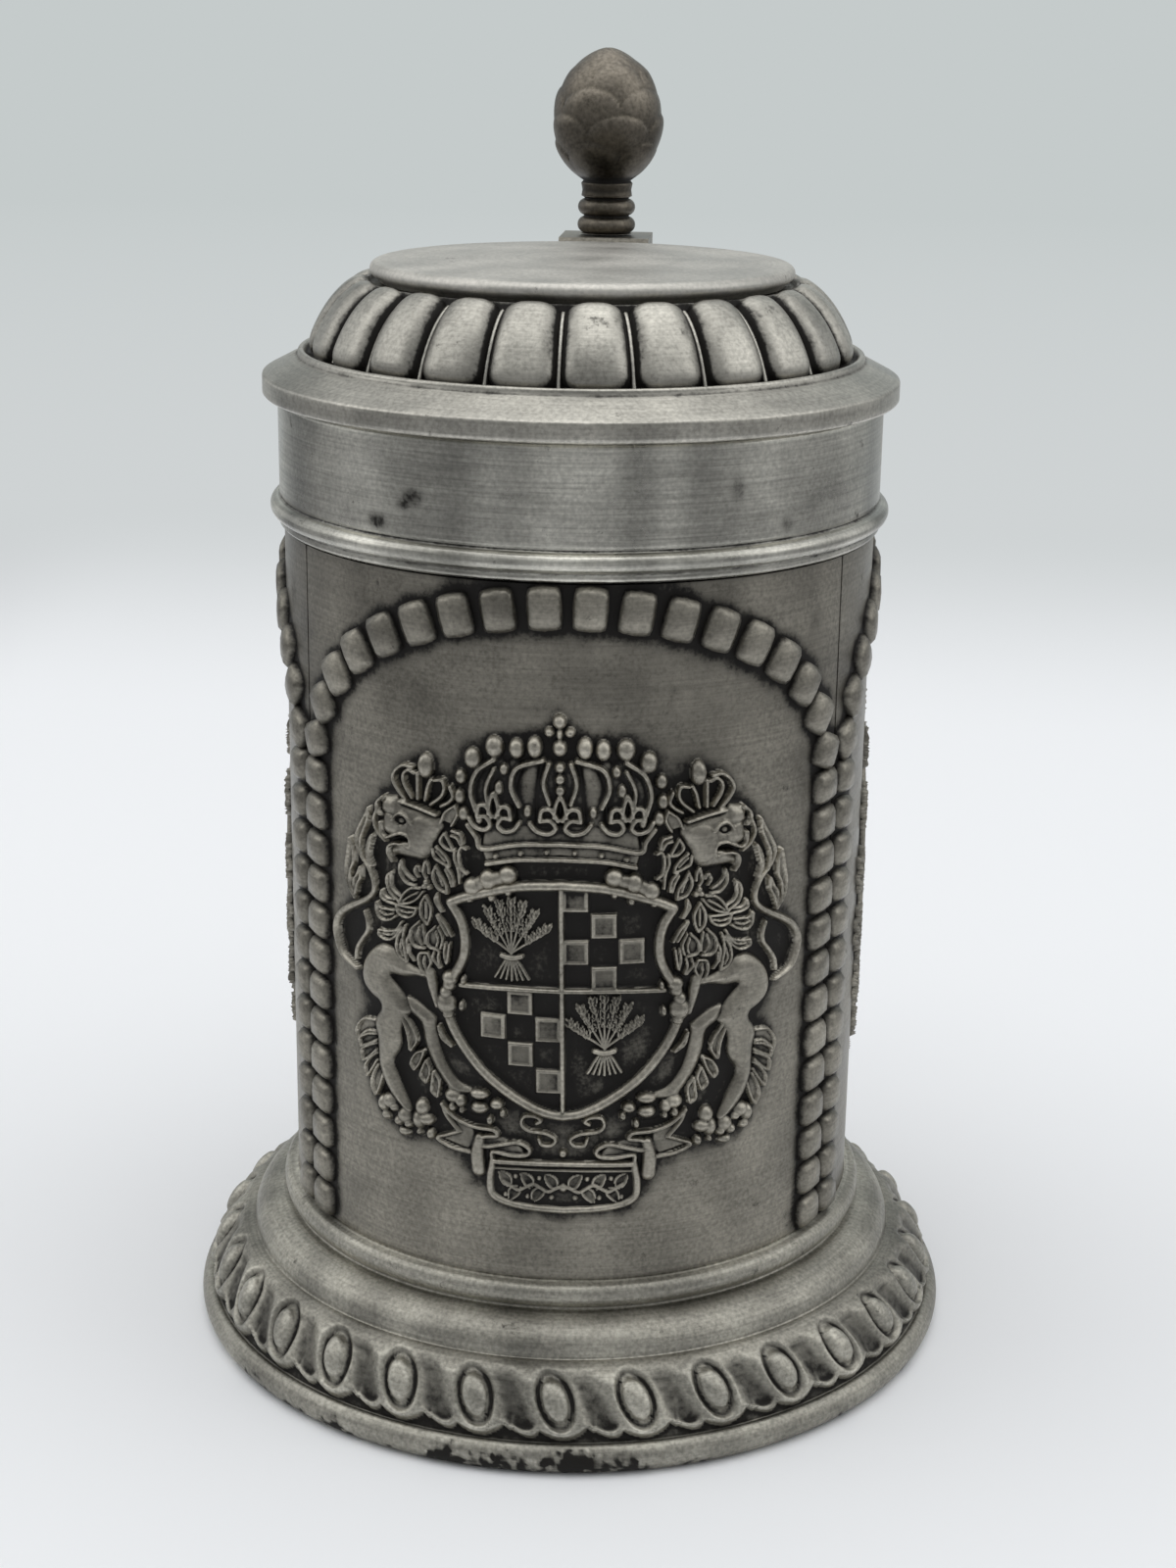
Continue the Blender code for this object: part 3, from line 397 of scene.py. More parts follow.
# %% The wax sheet
class Wax:
    """A flat sheet of wax: one height in mm for each point of a square lattice."""

    def __init__(self, half_width, low, high, pitch):
        self.pitch = pitch
        self.side = 1
        self.u = np.arange(-half_width, half_width + pitch / 2, pitch)
        self.z = np.arange(low, high + pitch / 2, pitch)
        self.rise = np.zeros((len(self.z), len(self.u)))
        self.shade = np.zeros_like(self.rise)

    def sides(self):
        """Runs a loop twice: what it lays is mirrored to the left first, and then stays on the right."""
        for self.side in (-1, 1):
            yield self.side

    def mirrored(self, points):
        """Points on the sheet's present side."""
        points = np.array(points, float)
        points[:, 0] *= self.side
        return points

    def window(self, low, high):
        """The part of the sheet between two corners, and the places of its points."""
        left, right = np.searchsorted(self.u, (low[0], high[0]))
        bottom, top = np.searchsorted(self.z, (low[1], high[1]))
        across, up = np.meshgrid(self.u[left:right], self.z[bottom:top])
        return (slice(bottom, top), slice(left, right)), across, up

    def lay(self, where, shape, way):
        """Presses a shape over the wax, lays it on top of it, or cuts it out."""
        part = self.rise[where]
        if way == "over":
            np.maximum(part, shape, out=part)
        elif way == "on":
            part += shape
        else:
            np.maximum(part - shape, 0, out=part)

    def roll(self, points, rise, way="over"):
        """A roll along a smooth line of (u, z, half width) points."""
        path = smooth_line(self.mirrored(points))
        reach = path[:, 2].max()
        where, across, up = self.window(path[:, :2].min(0) - reach, path[:, :2].max(0) + reach)
        nearest = np.ones_like(across)
        for start, end in zip(path, path[1:]):
            run = end - start
            share = (across - start[0]) * run[0] + (up - start[1]) * run[1]
            share = np.clip(share / max(run[0] ** 2 + run[1] ** 2, 1e-9), 0, 1)
            gap = np.hypot(across - start[0] - share * run[0], up - start[1] - share * run[1])
            nearest = np.minimum(nearest, gap / (start[2] + share * run[2]))
        self.lay(where, rise * np.sqrt(1 - nearest ** 2), way)

    def line(self, points, half_width, rise, way="over"):
        """A roll of one width."""
        self.roll([(u, z, half_width) for u, z in points], rise, way)

    def ball(self, u, z, half_width, half_height, rise, way="over"):
        """A round or oval drop."""
        u *= self.side
        where, across, up = self.window((u - half_width, z - half_height), (u + half_width, z + half_height))
        apart = ((across - u) / half_width) ** 2 + ((up - z) / half_height) ** 2
        self.lay(where, rise * np.sqrt(np.clip(1 - apart, 0, 1)), way)

    def leaf(self, root, tip, width, rise, bend=0.0):
        """A leaf or a lock of hair: raised rims with a hollow between them."""
        root, tip = self.mirrored([root, tip])
        run, bend = tip - root, bend * self.side
        length = math.hypot(*run)
        reach = width / 2 + abs(bend)
        where, across, up = self.window(np.minimum(root, tip) - reach, np.maximum(root, tip) + reach)
        share = ((across - root[0]) * run[0] + (up - root[1]) * run[1]) / length ** 2
        inside = np.clip(share, 0, 1)
        aside = ((up - root[1]) * run[0] - (across - root[0]) * run[1]) / length - bend * 4 * inside * (1 - inside)
        half = width / 2 * np.sin(np.pi * inside ** 0.8) ** 0.7 + 1e-6
        shape = np.interp(np.abs(aside) / half, (0, 0.5, 0.66, 0.8, 0.93, 1), (0.5, 0.52, 0.78, 1, 0.75, 0))
        self.lay(where, np.where((share > 0) & (share < 1), rise * shape, 0), "over")

    def slab(self, outline, rise, edge):
        """Where a flat shape with a rounded edge lies, and its heights there."""
        corners = self.mirrored(outline)
        where, across, up = self.window(corners.min(0), corners.max(0))
        inside = np.zeros(across.shape, bool)
        nearest = np.full(across.shape, np.inf)
        for start, end in zip(corners, np.roll(corners, -1, 0)):
            run = end - start
            inside ^= ((start[1] > up) != (end[1] > up)) & (
                across < start[0] + (up - start[1]) * run[0] / (run[1] or 1e-9))
            share = np.clip(((across - start[0]) * run[0] + (up - start[1]) * run[1]) / max(run @ run, 1e-9), 0, 1)
            nearest = np.minimum(nearest, np.hypot(across - start[0] - share * run[0], up - start[1] - share * run[1]))
        share = np.clip(nearest / edge, 0, 1)
        return where, np.where(inside, rise * np.sqrt(1 - (1 - share) ** 2), 0)

    def plate(self, outline, rise, edge, way="over"):
        """A flat plate with a rounded edge."""
        self.lay(*self.slab(outline, rise, edge), way)

    def form(self, outline, rise, edge):
        """A plate whose outline runs smoothly through a few points."""
        self.plate(smooth_line([*outline, outline[0]], 4)[:-1], rise, edge)

    def darken(self, outline, depth, edge):
        """Lets the ground inside an outline lie deeper for the patina, without cutting it."""
        where, shape = self.slab(outline, depth, edge)
        self.shade[where] += shape


MOTIFS = ("crown", "shield", "ribbon", "left_lion", "right_lion")
FRONT_SHEET = {"half_width": 38, "low": 29, "high": 105, "pitch": 0.15}
front_sheets = {motif: Wax(**FRONT_SHEET) for motif in MOTIFS}
print("each front sheet:", front_sheets["crown"].rise.shape, "points")

# %% [markdown]
# ## The crown
#
# A studded circlet between two fillets carries a row of scrolled leaves, and hoops set with pearls rise
# from it to the orb. Everything is drawn for the right side, and the sheet lays it on both.


# %% Lay the crown
def lay_crown(wax):
    """The cap and circlet, then leaves, hoops and pearls on each side, and last the middle row up to the orb."""
    wax.plate([(-10, 82), (0, 83.2), (10, 82), (10.6, 84), (9.8, 87.4), (0, 87.8), (-9.8, 87.4), (-10.6, 84)],
              0.5, 0.5)
    for _ in wax.sides():
        for u in (1.6, 4.4, 7.3, 9.8):
            wax.roll([(u, 88, 1.3), (u, 92, 1.5), (u * 0.8, 95.5, 0.9)], 0.45)
        wax.line([(9.7, 81.7), (5.5, 82.6), (0, 82.9)], 0.42, 1.1)
        wax.line([(12.2, 86.8), (11, 85.2), (10.2, 83.7), (5.5, 84.7), (0, 85)], 0.42, 1.15)
        for u, z in ((1.8, 83.85), (5.2, 83.5), (8.5, 82.85)):
            wax.ball(u, z, 0.45, 0.45, 1.05)
        for u, size in ((0, 1.0), (8.6, 0.85)):
            wax.line([(u - 0.8 * size, 88.7), (u - 0.6 * size, 90.2), (u, 91.5),
                      (u + 0.6 * size, 90.2), (u + 0.8 * size, 88.7)], 0.4, 1.25)
            for curl in (-1, 1):
                at = [u + curl * size * reach for reach in (0.3, 1.2, 2.3, 2.6, 1.3, 0.6, 1.5, 3.0, 3.9)]
                wax.line([(at[0], 88.3), (at[1], 89.7), (at[2], 89.6), (at[3], 88.4)], 0.44, 1.25)
                wax.line([(at[3], 88.1), (at[4], 88.2), (at[5], 87.2), (at[6], 86.4), (at[7], 86.7), (at[8], 87.7)],
                         0.44, 1.15)
        wax.ball(4.2, 89.3, 0.65, 0.95, 1.2)
        wax.ball(10.6, 87.7, 0.6, 0.8, 1.1)
        wax.line([(1.35, 90.5), (2.1, 93.2), (1.4, 95.9)], 0.44, 1.15)
        wax.line([(5.3, 90), (6.3, 92.5), (5.5, 95.1), (2.2, 96.3)], 0.46, 1.15)
        wax.line([(9.4, 89.8), (9.6, 92.2), (8.5, 94.8)], 0.4, 1.05)
        wax.line([(11, 88.8), (11.7, 91.5), (10.8, 94.2), (8.5, 96)], 0.46, 1.1)
        for u, z, wide, high in ((7.9, 92.2, 0.65, 1.0), (7.2, 94.8, 0.65, 0.85), (12.8, 88.2, 0.75, 0.95),
                                 (13.3, 90.5, 0.75, 1.0), (13.1, 93.2, 0.8, 1.0)):
            wax.ball(u, z, 1.12 * wide, 1.12 * high, 1.2)
        for u, z, wide, high in ((3.2, 98, 1.0, 1.5), (5.55, 97.7, 1.0, 1.4), (8.45, 97.7, 1.2, 1.5),
                                 (11.4, 95.9, 1.15, 1.5)):
            wax.ball(u, z, 1.1 * wide, 1.05 * high, 1.55)
        wax.ball(1.3, 100.1, 0.72, 0.72, 1.3)
    for z in (95.4, 93.8, 92.3):
        wax.ball(0, z, 0.8, 0.85, 1.25)
    wax.ball(0, 98, 1.0, 1.2, 1.5)
    wax.ball(0, 99.8, 0.5, 0.8, 1.2)
    wax.ball(0, 101.5, 0.95, 1.05, 1.4)


lay_crown(front_sheets["crown"])
print("crown laid, highest", round(front_sheets["crown"].rise.max(), 2), "mm")

# %% [markdown]
# ## The shield and the ribbon
#
# A heater shield with notched top corners is quartered by a cross. Two quarters are chequered and two
# carry a sheaf of barley, all on a field that stays dark. Below it hangs a folded ribbon with swallow
# tails, whose plaque has a small sprig.


# %% Lay the shield
SHIELD = [(0, 79.3), (6, 78.8), (12.2, 76.9), (14.8, 75.7), (13.4, 73.4), (12.9, 71), (13.1, 68.4), (14.2, 66),
          (15.4, 64), (15.8, 61.6), (15, 58.4), (13, 55), (10, 51.6), (6, 48.7), (2.6, 47), (0, 46.5)]
CHECK, CROSS_LEVEL = 3.7, 64.4


def lay_shield(wax):
    """The dark field, its checks and its sheaves, and then the rim and the cross over them."""
    wax.darken(SHIELD + [(-u, z) for u, z in SHIELD[-2:0:-1]], 0.16, 0.5)
    inner = [(-1.25, -1.25), (1.25, -1.25), (1.25, 1.25), (-1.25, 1.25)]
    for column, row in itertools.product(range(-4, 4), range(-5, 4)):
        u, z = CHECK * (column + 0.5), CROSS_LEVEL + CHECK * (row + 0.5)
        chequered = (u > 0) == (z > CROSS_LEVEL) and (column + row) % 2
        half = np.interp(z, (46.5, 48.7, 51.6, 55, 58.4, 75, 77), (0, 5, 9, 12, 13.6, 11.5, 8)) - 2.0
        if chequered and abs(u) < half:
            wax.plate([(u + 1.42 * x, z + 1.42 * y) for x, y in inner], 0.72, 0.3)
            wax.plate([(u + x, z + y) for x, y in inner], 0.2, 0.2, "cut")
    for u, z in ((-6.6, 70), (5.6, 56.8)):
        for spread in range(-3, 4):
            tip = (u + 1.55 * spread, z + 6.4 - 0.42 * spread ** 2)
            wax.line([(u - 0.75 * spread, z - 4.4 + 0.1 * abs(spread)), (u, z - 0.6), tip], 0.22, 0.6)
            for grain in range(4):
                share = 0.45 + 0.16 * grain
                at = (u + (tip[0] - u) * share, z - 0.6 + (tip[1] - z + 0.6) * share)
                for lean in (-0.5, 0.5):
                    wax.leaf(at, (at[0] + lean + 0.2 * spread, at[1] + 1.5), 0.75, 0.8)
        wax.roll([(u - 1.3, z - 0.9, 0.45), (u, z - 1.2, 0.5), (u + 1.3, z - 0.9, 0.45)], 0.9)
    for _ in wax.sides():
        wax.roll([(u, z, 0.8) for u, z in SHIELD[:4]], 1.25)
        wax.roll([(u, z, 0.78) for u, z in SHIELD[3:]], 1.25)
        wax.line([(13.6, 64.2), (6, 64.5), (0, 64.5)], 0.48, 1.0)
    wax.line([(0, 78.6), (0, 64), (0, 47.2)], 0.45, 1.0)


lay_shield(front_sheets["shield"])
print("shield laid, highest", round(front_sheets["shield"].rise.max(), 2), "mm")

# %% Lay the ribbon
SPRIG = 35.8


def lay_ribbon(wax):
    """The plaque, and then its border, the folds, the tails and the sprig on each side."""
    plaque = [(0, 39.6), (9.6, 39.3), (10.1, 36), (9.6, 33.9), (6, 32.7), (0, 32.2)]
    plaque += [(-u, z) for u, z in plaque[-2:0:-1]]
    wax.plate(plaque, 0.4, 0.5)
    wax.darken(plaque, 0.1, 1.6)
    for _ in wax.sides():
        wax.line([(9.5, 39.2), (5, 39.4), (0, 39.5)], 0.5, 1.15)
        wax.line([(9.3, 38.2), (5, 38.4), (0, 38.5)], 0.25, 0.8)
        wax.line([(9.5, 39.2), (9.9, 36.4), (9.4, 34.1), (6, 33), (0, 32.6)], 0.62, 1.1)
        wax.plate([(12.2, 43.6), (16.4, 45.9), (14.2, 42.8), (17.2, 41.2), (13, 40.2), (11.8, 41.6)], 0.45, 0.4)
        wax.line([(9.6, 39.7), (9.4, 40.6), (6.8, 40.3), (4.8, 40.6), (4.5, 41.5), (6, 42.3), (8.2, 41.8),
                  (10.6, 41.2), (11.5, 42), (10.4, 42.7), (8.8, 43), (9.4, 43.8), (12, 43.9), (14.6, 44.7),
                  (16.7, 46.4)], 0.36, 1.05)
        wax.line([(16.7, 46.4), (16, 44.8), (14.2, 42.8)], 0.33, 0.95)
        wax.line([(14.2, 42.8), (16, 42), (17.5, 41.2), (15.4, 40.3), (12.8, 40)], 0.33, 0.95)
        wax.roll([(11.3, 42.2, 0.85), (11.7, 40, 1.05), (11.5, 37.6, 1.1)], 1.1)
        wax.plate([(4.7, 40.5), (9.6, 40.3), (11.6, 41.3), (11.4, 42.6), (9, 43), (6, 42.3)], 0.5, 0.4)
        wax.line([(3.5, 45.3), (2.9, 45.7), (3.6, 46.3), (5.1, 46.2), (5.5, 45.1), (4.6, 44.2), (2.3, 43.9),
                  (1, 43.1), (1.5, 42.2), (2.8, 42.2), (3.2, 43)], 0.32, 0.95)
        wax.line([(u, SPRIG + 0.5 * math.cos(1.57 * u)) for u in range(9)], 0.34, 0.95)
        for step, u in enumerate((1, 2.6, 4.2, 5.8, 7.2)):
            over = 1 - 2 * (step % 2)
            wax.leaf((u, SPRIG), (u + 1.5, SPRIG + 2.1 * over), 1.8, 1.05, 0.2)
            wax.ball(u + 0.6, SPRIG - 1.4 * over, 0.42, 0.42, 0.9)
    wax.ball(0, SPRIG + 0.1, 0.75, 0.75, 1.0)
    wax.ball(0, 41, 0.65, 0.65, 1.1)


lay_ribbon(front_sheets["ribbon"])
print("ribbon laid, highest", round(front_sheets["ribbon"].rise.max(), 2), "mm")

# %% [markdown]
# ## The lions
#
# Two crowned lions hold the shield and look away from it. Each is modelled as a sculptor would: body and
# legs as smooth forms first, then the mane lock by lock and the tail, and last the head and the paws.
# The numbers are for the right-hand lion, and the other one's sheet mirrors them.

# %% The lions' bodies
# Smooth outlines with their height and edge: the mane's ground, the fore leg, the trunk with the hind leg,
# and the ground under the hind and the fore paw.
LION_FORMS = (
    ([(12.7, 84.6), (13.7, 86), (15.5, 86), (17.5, 84.5), (17.6, 81.5), (19.4, 80.6), (22.6, 80.6),
      (24.7, 78.4), (25.9, 75.6), (26.8, 73.4), (26.6, 71.2), (26.4, 68.6), (24.2, 67.6), (22.9, 66),
      (20.6, 66), (19.5, 64.6), (17.5, 64.2), (15.9, 66), (15, 67), (14.6, 71), (14.9, 74.5), (14.3, 78),
      (13, 78.6), (12.4, 81)], 0.3, 0.9),
    ([(17.3, 58.9), (18.6, 59.7), (20.4, 60.7), (22.1, 61), (21.6, 58.8), (19.9, 57.6), (19.4, 55.4),
      (18.9, 53.7), (18.1, 52), (17.1, 50.4), (16.1, 49.2), (15.7, 48.3), (14.2, 48.1), (12.4, 48.5),
      (10.6, 48.4), (10.3, 49.5), (12.1, 49.6), (13.9, 50.1), (15.3, 51.4), (16.3, 53.2), (17, 55.6)], 1.0, 1.5),
    ([(18.3, 65.4), (20.3, 65.7), (22.1, 66.6), (24.2, 67.8), (26.2, 67.6), (28.1, 66.2), (29.4, 64.4),
      (29.8, 62.4), (29.3, 60.8), (28, 59.7), (26.6, 59), (26.5, 58), (27.3, 56.8), (27.6, 55.6),
      (27.2, 54), (27.1, 52), (27, 50), (26.2, 47.8), (25, 46), (23.6, 44.6), (22, 43.8), (21.2, 44.4),
      (22.2, 46.2), (23.3, 48.4), (24.2, 50.2), (24.1, 51.3), (23.3, 52.6), (22.8, 54.2), (22.8, 56),
      (22, 57.6), (21.2, 58.8), (21.8, 60.4), (22.9, 61.8), (24.3, 63.4), (22.1, 63.6), (20.1, 64.1),
      (18.5, 64.2)], 1.5, 2.1),
    ([(17.9, 44.2), (18.6, 46.4), (20.2, 46.9), (21.4, 45.4), (23.8, 45.6), (25.6, 46), (26.9, 44.8),
      (26.6, 42.8), (25.4, 42.2), (24.1, 42.5), (23.3, 41.2), (21.7, 41), (20.3, 41.6), (18.5, 41.4),
      (17.7, 42.6)], 0.22, 0.8),
    ([(8, 47.7), (9.2, 48.7), (11.8, 49), (15.1, 49.2), (16.3, 48.2), (15.8, 46.2), (13.8, 45.8),
      (11.8, 45.4), (10.2, 45.6), (8.6, 46.4)], 0.22, 0.8),
)
LION_HOLLOWS = (
    [(28.8, 71.2), (31.7, 71), (33.8, 69.2), (34.3, 66.6), (33.3, 64.6), (31.3, 63.7), (30.1, 66.4), (29, 68.6)],
    [(25.2, 82), (26.8, 81.8), (26.5, 78), (26.4, 74.6), (25.9, 76.2), (25.2, 78.6)],
    [(20.8, 50), (22.6, 53), (23.7, 51), (22.4, 48), (21, 46.6), (19.6, 47.4)],
    [(18.7, 63.5), (23.1, 62.7), (21.4, 60.9), (18.6, 60.2)],
)
lions = [front_sheets["left_lion"], front_sheets["right_lion"]]
lions[0].side = -1
for lion in lions:
    for outline, rise, edge in LION_FORMS:
        lion.form(outline, rise, edge)
    for outline in LION_HOLLOWS:
        lion.darken(outline, 0.22, 0.8)
    lion.roll([(6.7, 80.2, 1), (9.5, 79.4, 1.15), (11.7, 78.2, 1.1)], 1.2)
    lion.roll([(18.1, 65.2, 0.95), (17.6, 63, 0.85), (17, 60.7, 0.5)], 1.15)
    lion.ball(15.7, 61.3, 1.6, 1.75, 1.75)
    lion.ball(15.2, 64.1, 1.0, 1.1, 1.6)
print("lions' bodies laid, highest", round(lions[1].rise.max(), 2), "mm")

# %% The lions' manes and tails
# Each lock has two ridges that meet at its tip, and the broader ones a third between them.
LOCKS = (
    ([(12.9, 84.1), (13.2, 85.3), (14.4, 85.7)], [(13.2, 84), (13.7, 84.8), (14.5, 85)]),
    ([(14.4, 83.4), (14.9, 84.3), (15.4, 85.2)], [(13.9, 83), (15.2, 83.1), (16, 84.1), (15.5, 85.2)]),
    ([(12.4, 83.4), (13.1, 83.6), (13.5, 82.5), (13.2, 80.7), (12.4, 80)],
     [(14, 83.2), (14.1, 82), (13.6, 80.5), (13.4, 78.6)]),
    ([(14.8, 80.7), (15, 81.6), (15.8, 82.5), (16.6, 83.2)],
     [(14.9, 80.7), (16.2, 81.2), (17, 81.7), (17.1, 82.8)], [(15.4, 81.4), (16.1, 82.1), (16.6, 82.6)]),
    ([(15.2, 76.9), (15.4, 78.3), (16.2, 79.5), (16.8, 80.5)],
     [(15.2, 76.9), (16.5, 77.4), (17.3, 79), (16.8, 80.5)], [(15.8, 77.9), (16.2, 79), (16.6, 79.7)]),
    ([(14.2, 78.1), (14.4, 79.5), (15.2, 80.6)], [(14.5, 78), (14.9, 79.3), (15.4, 80.2)]),
    ([(17.8, 79.3), (17.9, 80.3), (18.2, 80.9)], [(18.3, 78.6), (18.7, 79.4), (18.4, 80.8)]),
    ([(19.1, 79.4), (19.3, 79.9), (19.6, 80)], [(19.5, 78.5), (20, 79.3), (19.7, 80)]),
    ([(20.1, 77.9), (21.2, 78.5), (21.9, 79.4), (22, 80.2)],
     [(20, 77.2), (21.3, 77.3), (22.3, 78.4), (22.4, 79.5), (22.1, 80.3)]),
    ([(19.3, 76.9), (20.6, 76.7), (21.8, 75.7), (22.6, 74.3)],
     [(18.8, 76.5), (19.8, 75.3), (21.1, 74.5), (22.5, 74.2)], [(19.7, 76.2), (21, 75.4), (22, 74.6)]),
    ([(22.3, 75.2), (23.3, 75.7), (23.9, 76.7), (23.8, 78.2)],
     [(22.7, 74.5), (24.1, 75.4), (24.6, 76.8), (24.4, 77.8), (23.7, 78.3)]),
    ([(23.3, 74.6), (24.7, 74.6), (25.4, 75.4)], [(23.2, 73.9), (24.8, 74), (25.7, 74.5), (25.5, 75.4)]),
    ([(19.9, 74), (21.5, 73.9), (23, 73.9)],
     [(19.8, 74), (20.4, 72.9), (21.5, 72.4), (22.7, 72.7), (23.1, 73.8)],
     [(20.3, 73.4), (21.5, 73.1), (22.7, 73.3)]),
    ([(23.5, 73), (24.8, 72.9), (25.8, 72.8), (26.4, 73.5)],
     [(23.2, 72.2), (24.2, 71.5), (25.5, 71.2), (26.4, 71.9), (26.6, 73.4)],
     [(23.8, 72.4), (24.9, 72), (26, 72.3)]),
    ([(18.4, 76), (17.7, 74.8), (17.7, 73.4), (18.2, 72)],
     [(18.5, 76), (19.2, 74.6), (19.1, 73), (18.2, 72)], [(18.4, 75.2), (18.4, 74), (18.4, 72.9)]),
    ([(16.6, 76.6), (16.5, 75.5), (15.9, 74.3)], [(16.7, 76.6), (17, 75.7), (16.1, 74.2)]),
    ([(16.5, 73.6), (15.5, 72.4), (14.7, 71)], [(16.8, 73.6), (16.1, 72.3), (15.3, 71)]),
    ([(16.6, 71.9), (16, 70.5), (16.3, 69)], [(17.2, 71.8), (18.3, 70.5), (18.1, 69), (16.7, 68.7)],
     [(17, 71.2), (16.7, 70.2), (16.9, 69.2)]),
    ([(18.9, 71.9), (18.7, 70.6), (18.6, 69.3)],
     [(19.6, 72.1), (20.8, 70.8), (20.9, 69.4), (20.1, 68.5), (18.7, 68.6)],
     [(19.5, 71.4), (19.8, 70.2), (19.1, 69)]),
    ([(22.3, 71.5), (23.2, 70.3), (24.5, 69.8), (26.2, 69.6)],
     [(22.4, 70.8), (23.4, 69.3), (24.7, 68.5), (26.1, 68.8), (26.2, 69.5)],
     [(22.8, 70.5), (24, 69.4), (25.6, 69.2)]),
    ([(21.7, 71.2), (22.1, 69.4), (21.9, 67.8), (21.6, 66.2)],
     [(22, 70.8), (23, 69.2), (23.2, 67.7), (22.6, 66.6), (21.6, 66.1)],
     [(22.3, 69.2), (22.6, 67.8), (22.1, 66.8)]),
    ([(21, 70.2), (21.5, 69), (21.3, 67.4)], [(21.1, 68.6), (21.1, 67.4), (20.4, 66.5)]),
    ([(18.2, 68), (17.8, 66.8), (18.2, 65.7), (17.8, 64.5)],
     [(18.3, 68), (19.5, 67.7), (19.7, 66.5), (19.1, 65.2), (17.8, 64.4)],
     [(18.8, 67.4), (18.9, 66.5), (18.5, 65.4)]),
    ([(16.5, 68.5), (16.7, 67.5), (16.3, 66.3)], [(17.3, 68.3), (17.5, 67.4), (16.5, 66.2)]),
    ([(15, 69.8), (15.2, 68.5), (15.4, 67.1)], [(15.6, 69.8), (15.8, 68.4), (15.5, 67)]),
    ([(14.4, 86.4), (13.6, 88), (13.9, 89.2)], [(15.9, 86.7), (15.3, 88.1), (13.9, 89.2)]),
    ([(27.3, 78.4), (27.8, 80), (27.4, 81.7), (27, 82.8)],
     [(27.5, 78.2), (28.1, 80), (27.7, 81.8), (27.1, 82.8)]),
    ([(28.8, 79), (29.2, 80.2), (29.3, 81.6), (28.6, 83.2), (27.9, 84.7), (27.6, 86.4)],
     [(28.8, 78.9), (29.7, 80.1), (30.2, 81.7), (29.4, 83.5), (28.3, 85.2), (27.6, 86.5)]),
    ([(30.7, 73.1), (31.6, 74.8), (31.5, 76.6), (30.8, 78.2), (30.9, 80.3), (31.4, 81.4)],
     [(30.7, 73), (32, 74.7), (32.4, 76.8), (32, 79), (31.5, 81.4)]),
    ([(30.6, 73.6), (30.2, 75), (29.5, 76.2), (29.4, 77.7)],
     [(30.8, 74), (30.8, 75.5), (30.1, 76.5), (29.5, 77.7)]),
    ([(22, 58), (20.7, 56.4), (20.3, 54.9), (21.2, 53.3)], [(22.4, 57.4), (21.7, 55.6), (21.4, 53.4)]),
    ([(19.1, 53.8), (19.8, 52), (20.7, 50.6)], [(19.2, 53.8), (20.5, 53), (21.3, 51.5), (20.8, 50.6)]),
    ([(18.8, 52.4), (18.3, 51), (18.9, 49.1)], [(18.9, 52.4), (19.4, 51.3), (19.8, 50), (19, 49.1)]),
    ([(17.7, 51), (16.9, 49.7), (17.2, 47.5)], [(17.8, 51), (18, 49.6), (18.1, 48.1), (17.3, 47.4)]),
    ([(16.8, 57.8), (16, 56.4), (14.9, 55.3)], [(16.9, 57.8), (16.4, 56.2), (15, 55.2)]),
    ([(27.3, 54.6), (28.9, 54.2), (30.4, 52.9)], [(27.4, 56.2), (29.6, 55.7), (31, 53.9), (30.6, 52.4)]),
    ([(27.3, 53.2), (28.8, 52.3), (30.1, 51.6)], [(27.3, 54.2), (28.9, 53.7), (30.4, 52.6), (30.2, 51.5)]),
    ([(27.3, 51.8), (28.5, 50.6), (29.7, 49.6)], [(27.3, 52.8), (28.8, 52), (30.1, 51), (29.9, 49.6)]),
    ([(27.1, 50.4), (28, 49), (29, 47.5)], [(27.2, 51.4), (28.5, 50.2), (29.5, 48.8), (29.2, 47.5)]),
    ([(26.1, 48.6), (26.7, 46.8), (27.4, 45.2)], [(26.9, 49.8), (27.8, 48.3), (28.3, 46.6), (27.6, 45.1)]),
)
for lion in lions:
    for left, right, *middle in LOCKS:
        lion.plate(left + right[::-1], 0.55, 0.3)
        for ridge in (left, right, *middle):
            lion.line(ridge, 0.2 if ridge in middle else 0.25, 1.15)
    for u, z in ((17.8, 77.3), (18.6, 77.3), (18.3, 78)):
        lion.ball(u, z, 0.55, 0.5, 1.25)
    lion.roll([(30.7, 62.8, 0.4), (33.7, 63.9, 0.5), (35, 66, 0.62), (35.2, 68, 0.68), (34, 69.9, 0.66),
               (32.2, 71.2, 0.62), (29.7, 72.6, 0.56), (27.9, 73.8, 0.52), (27, 75, 0.48), (27, 76.4, 0.44),
               (27.8, 78, 0.38), (28.8, 79, 0.3)], 1.15)
    lion.roll([(28.9, 71.5, 0.3), (28.4, 70.2, 0.4), (28.5, 68.8, 0.42), (29.6, 67.3, 0.42),
               (30.6, 65.8, 0.42), (30.9, 64.2, 0.36)], 1.0)
print("locks on each lion:", len(LOCKS))

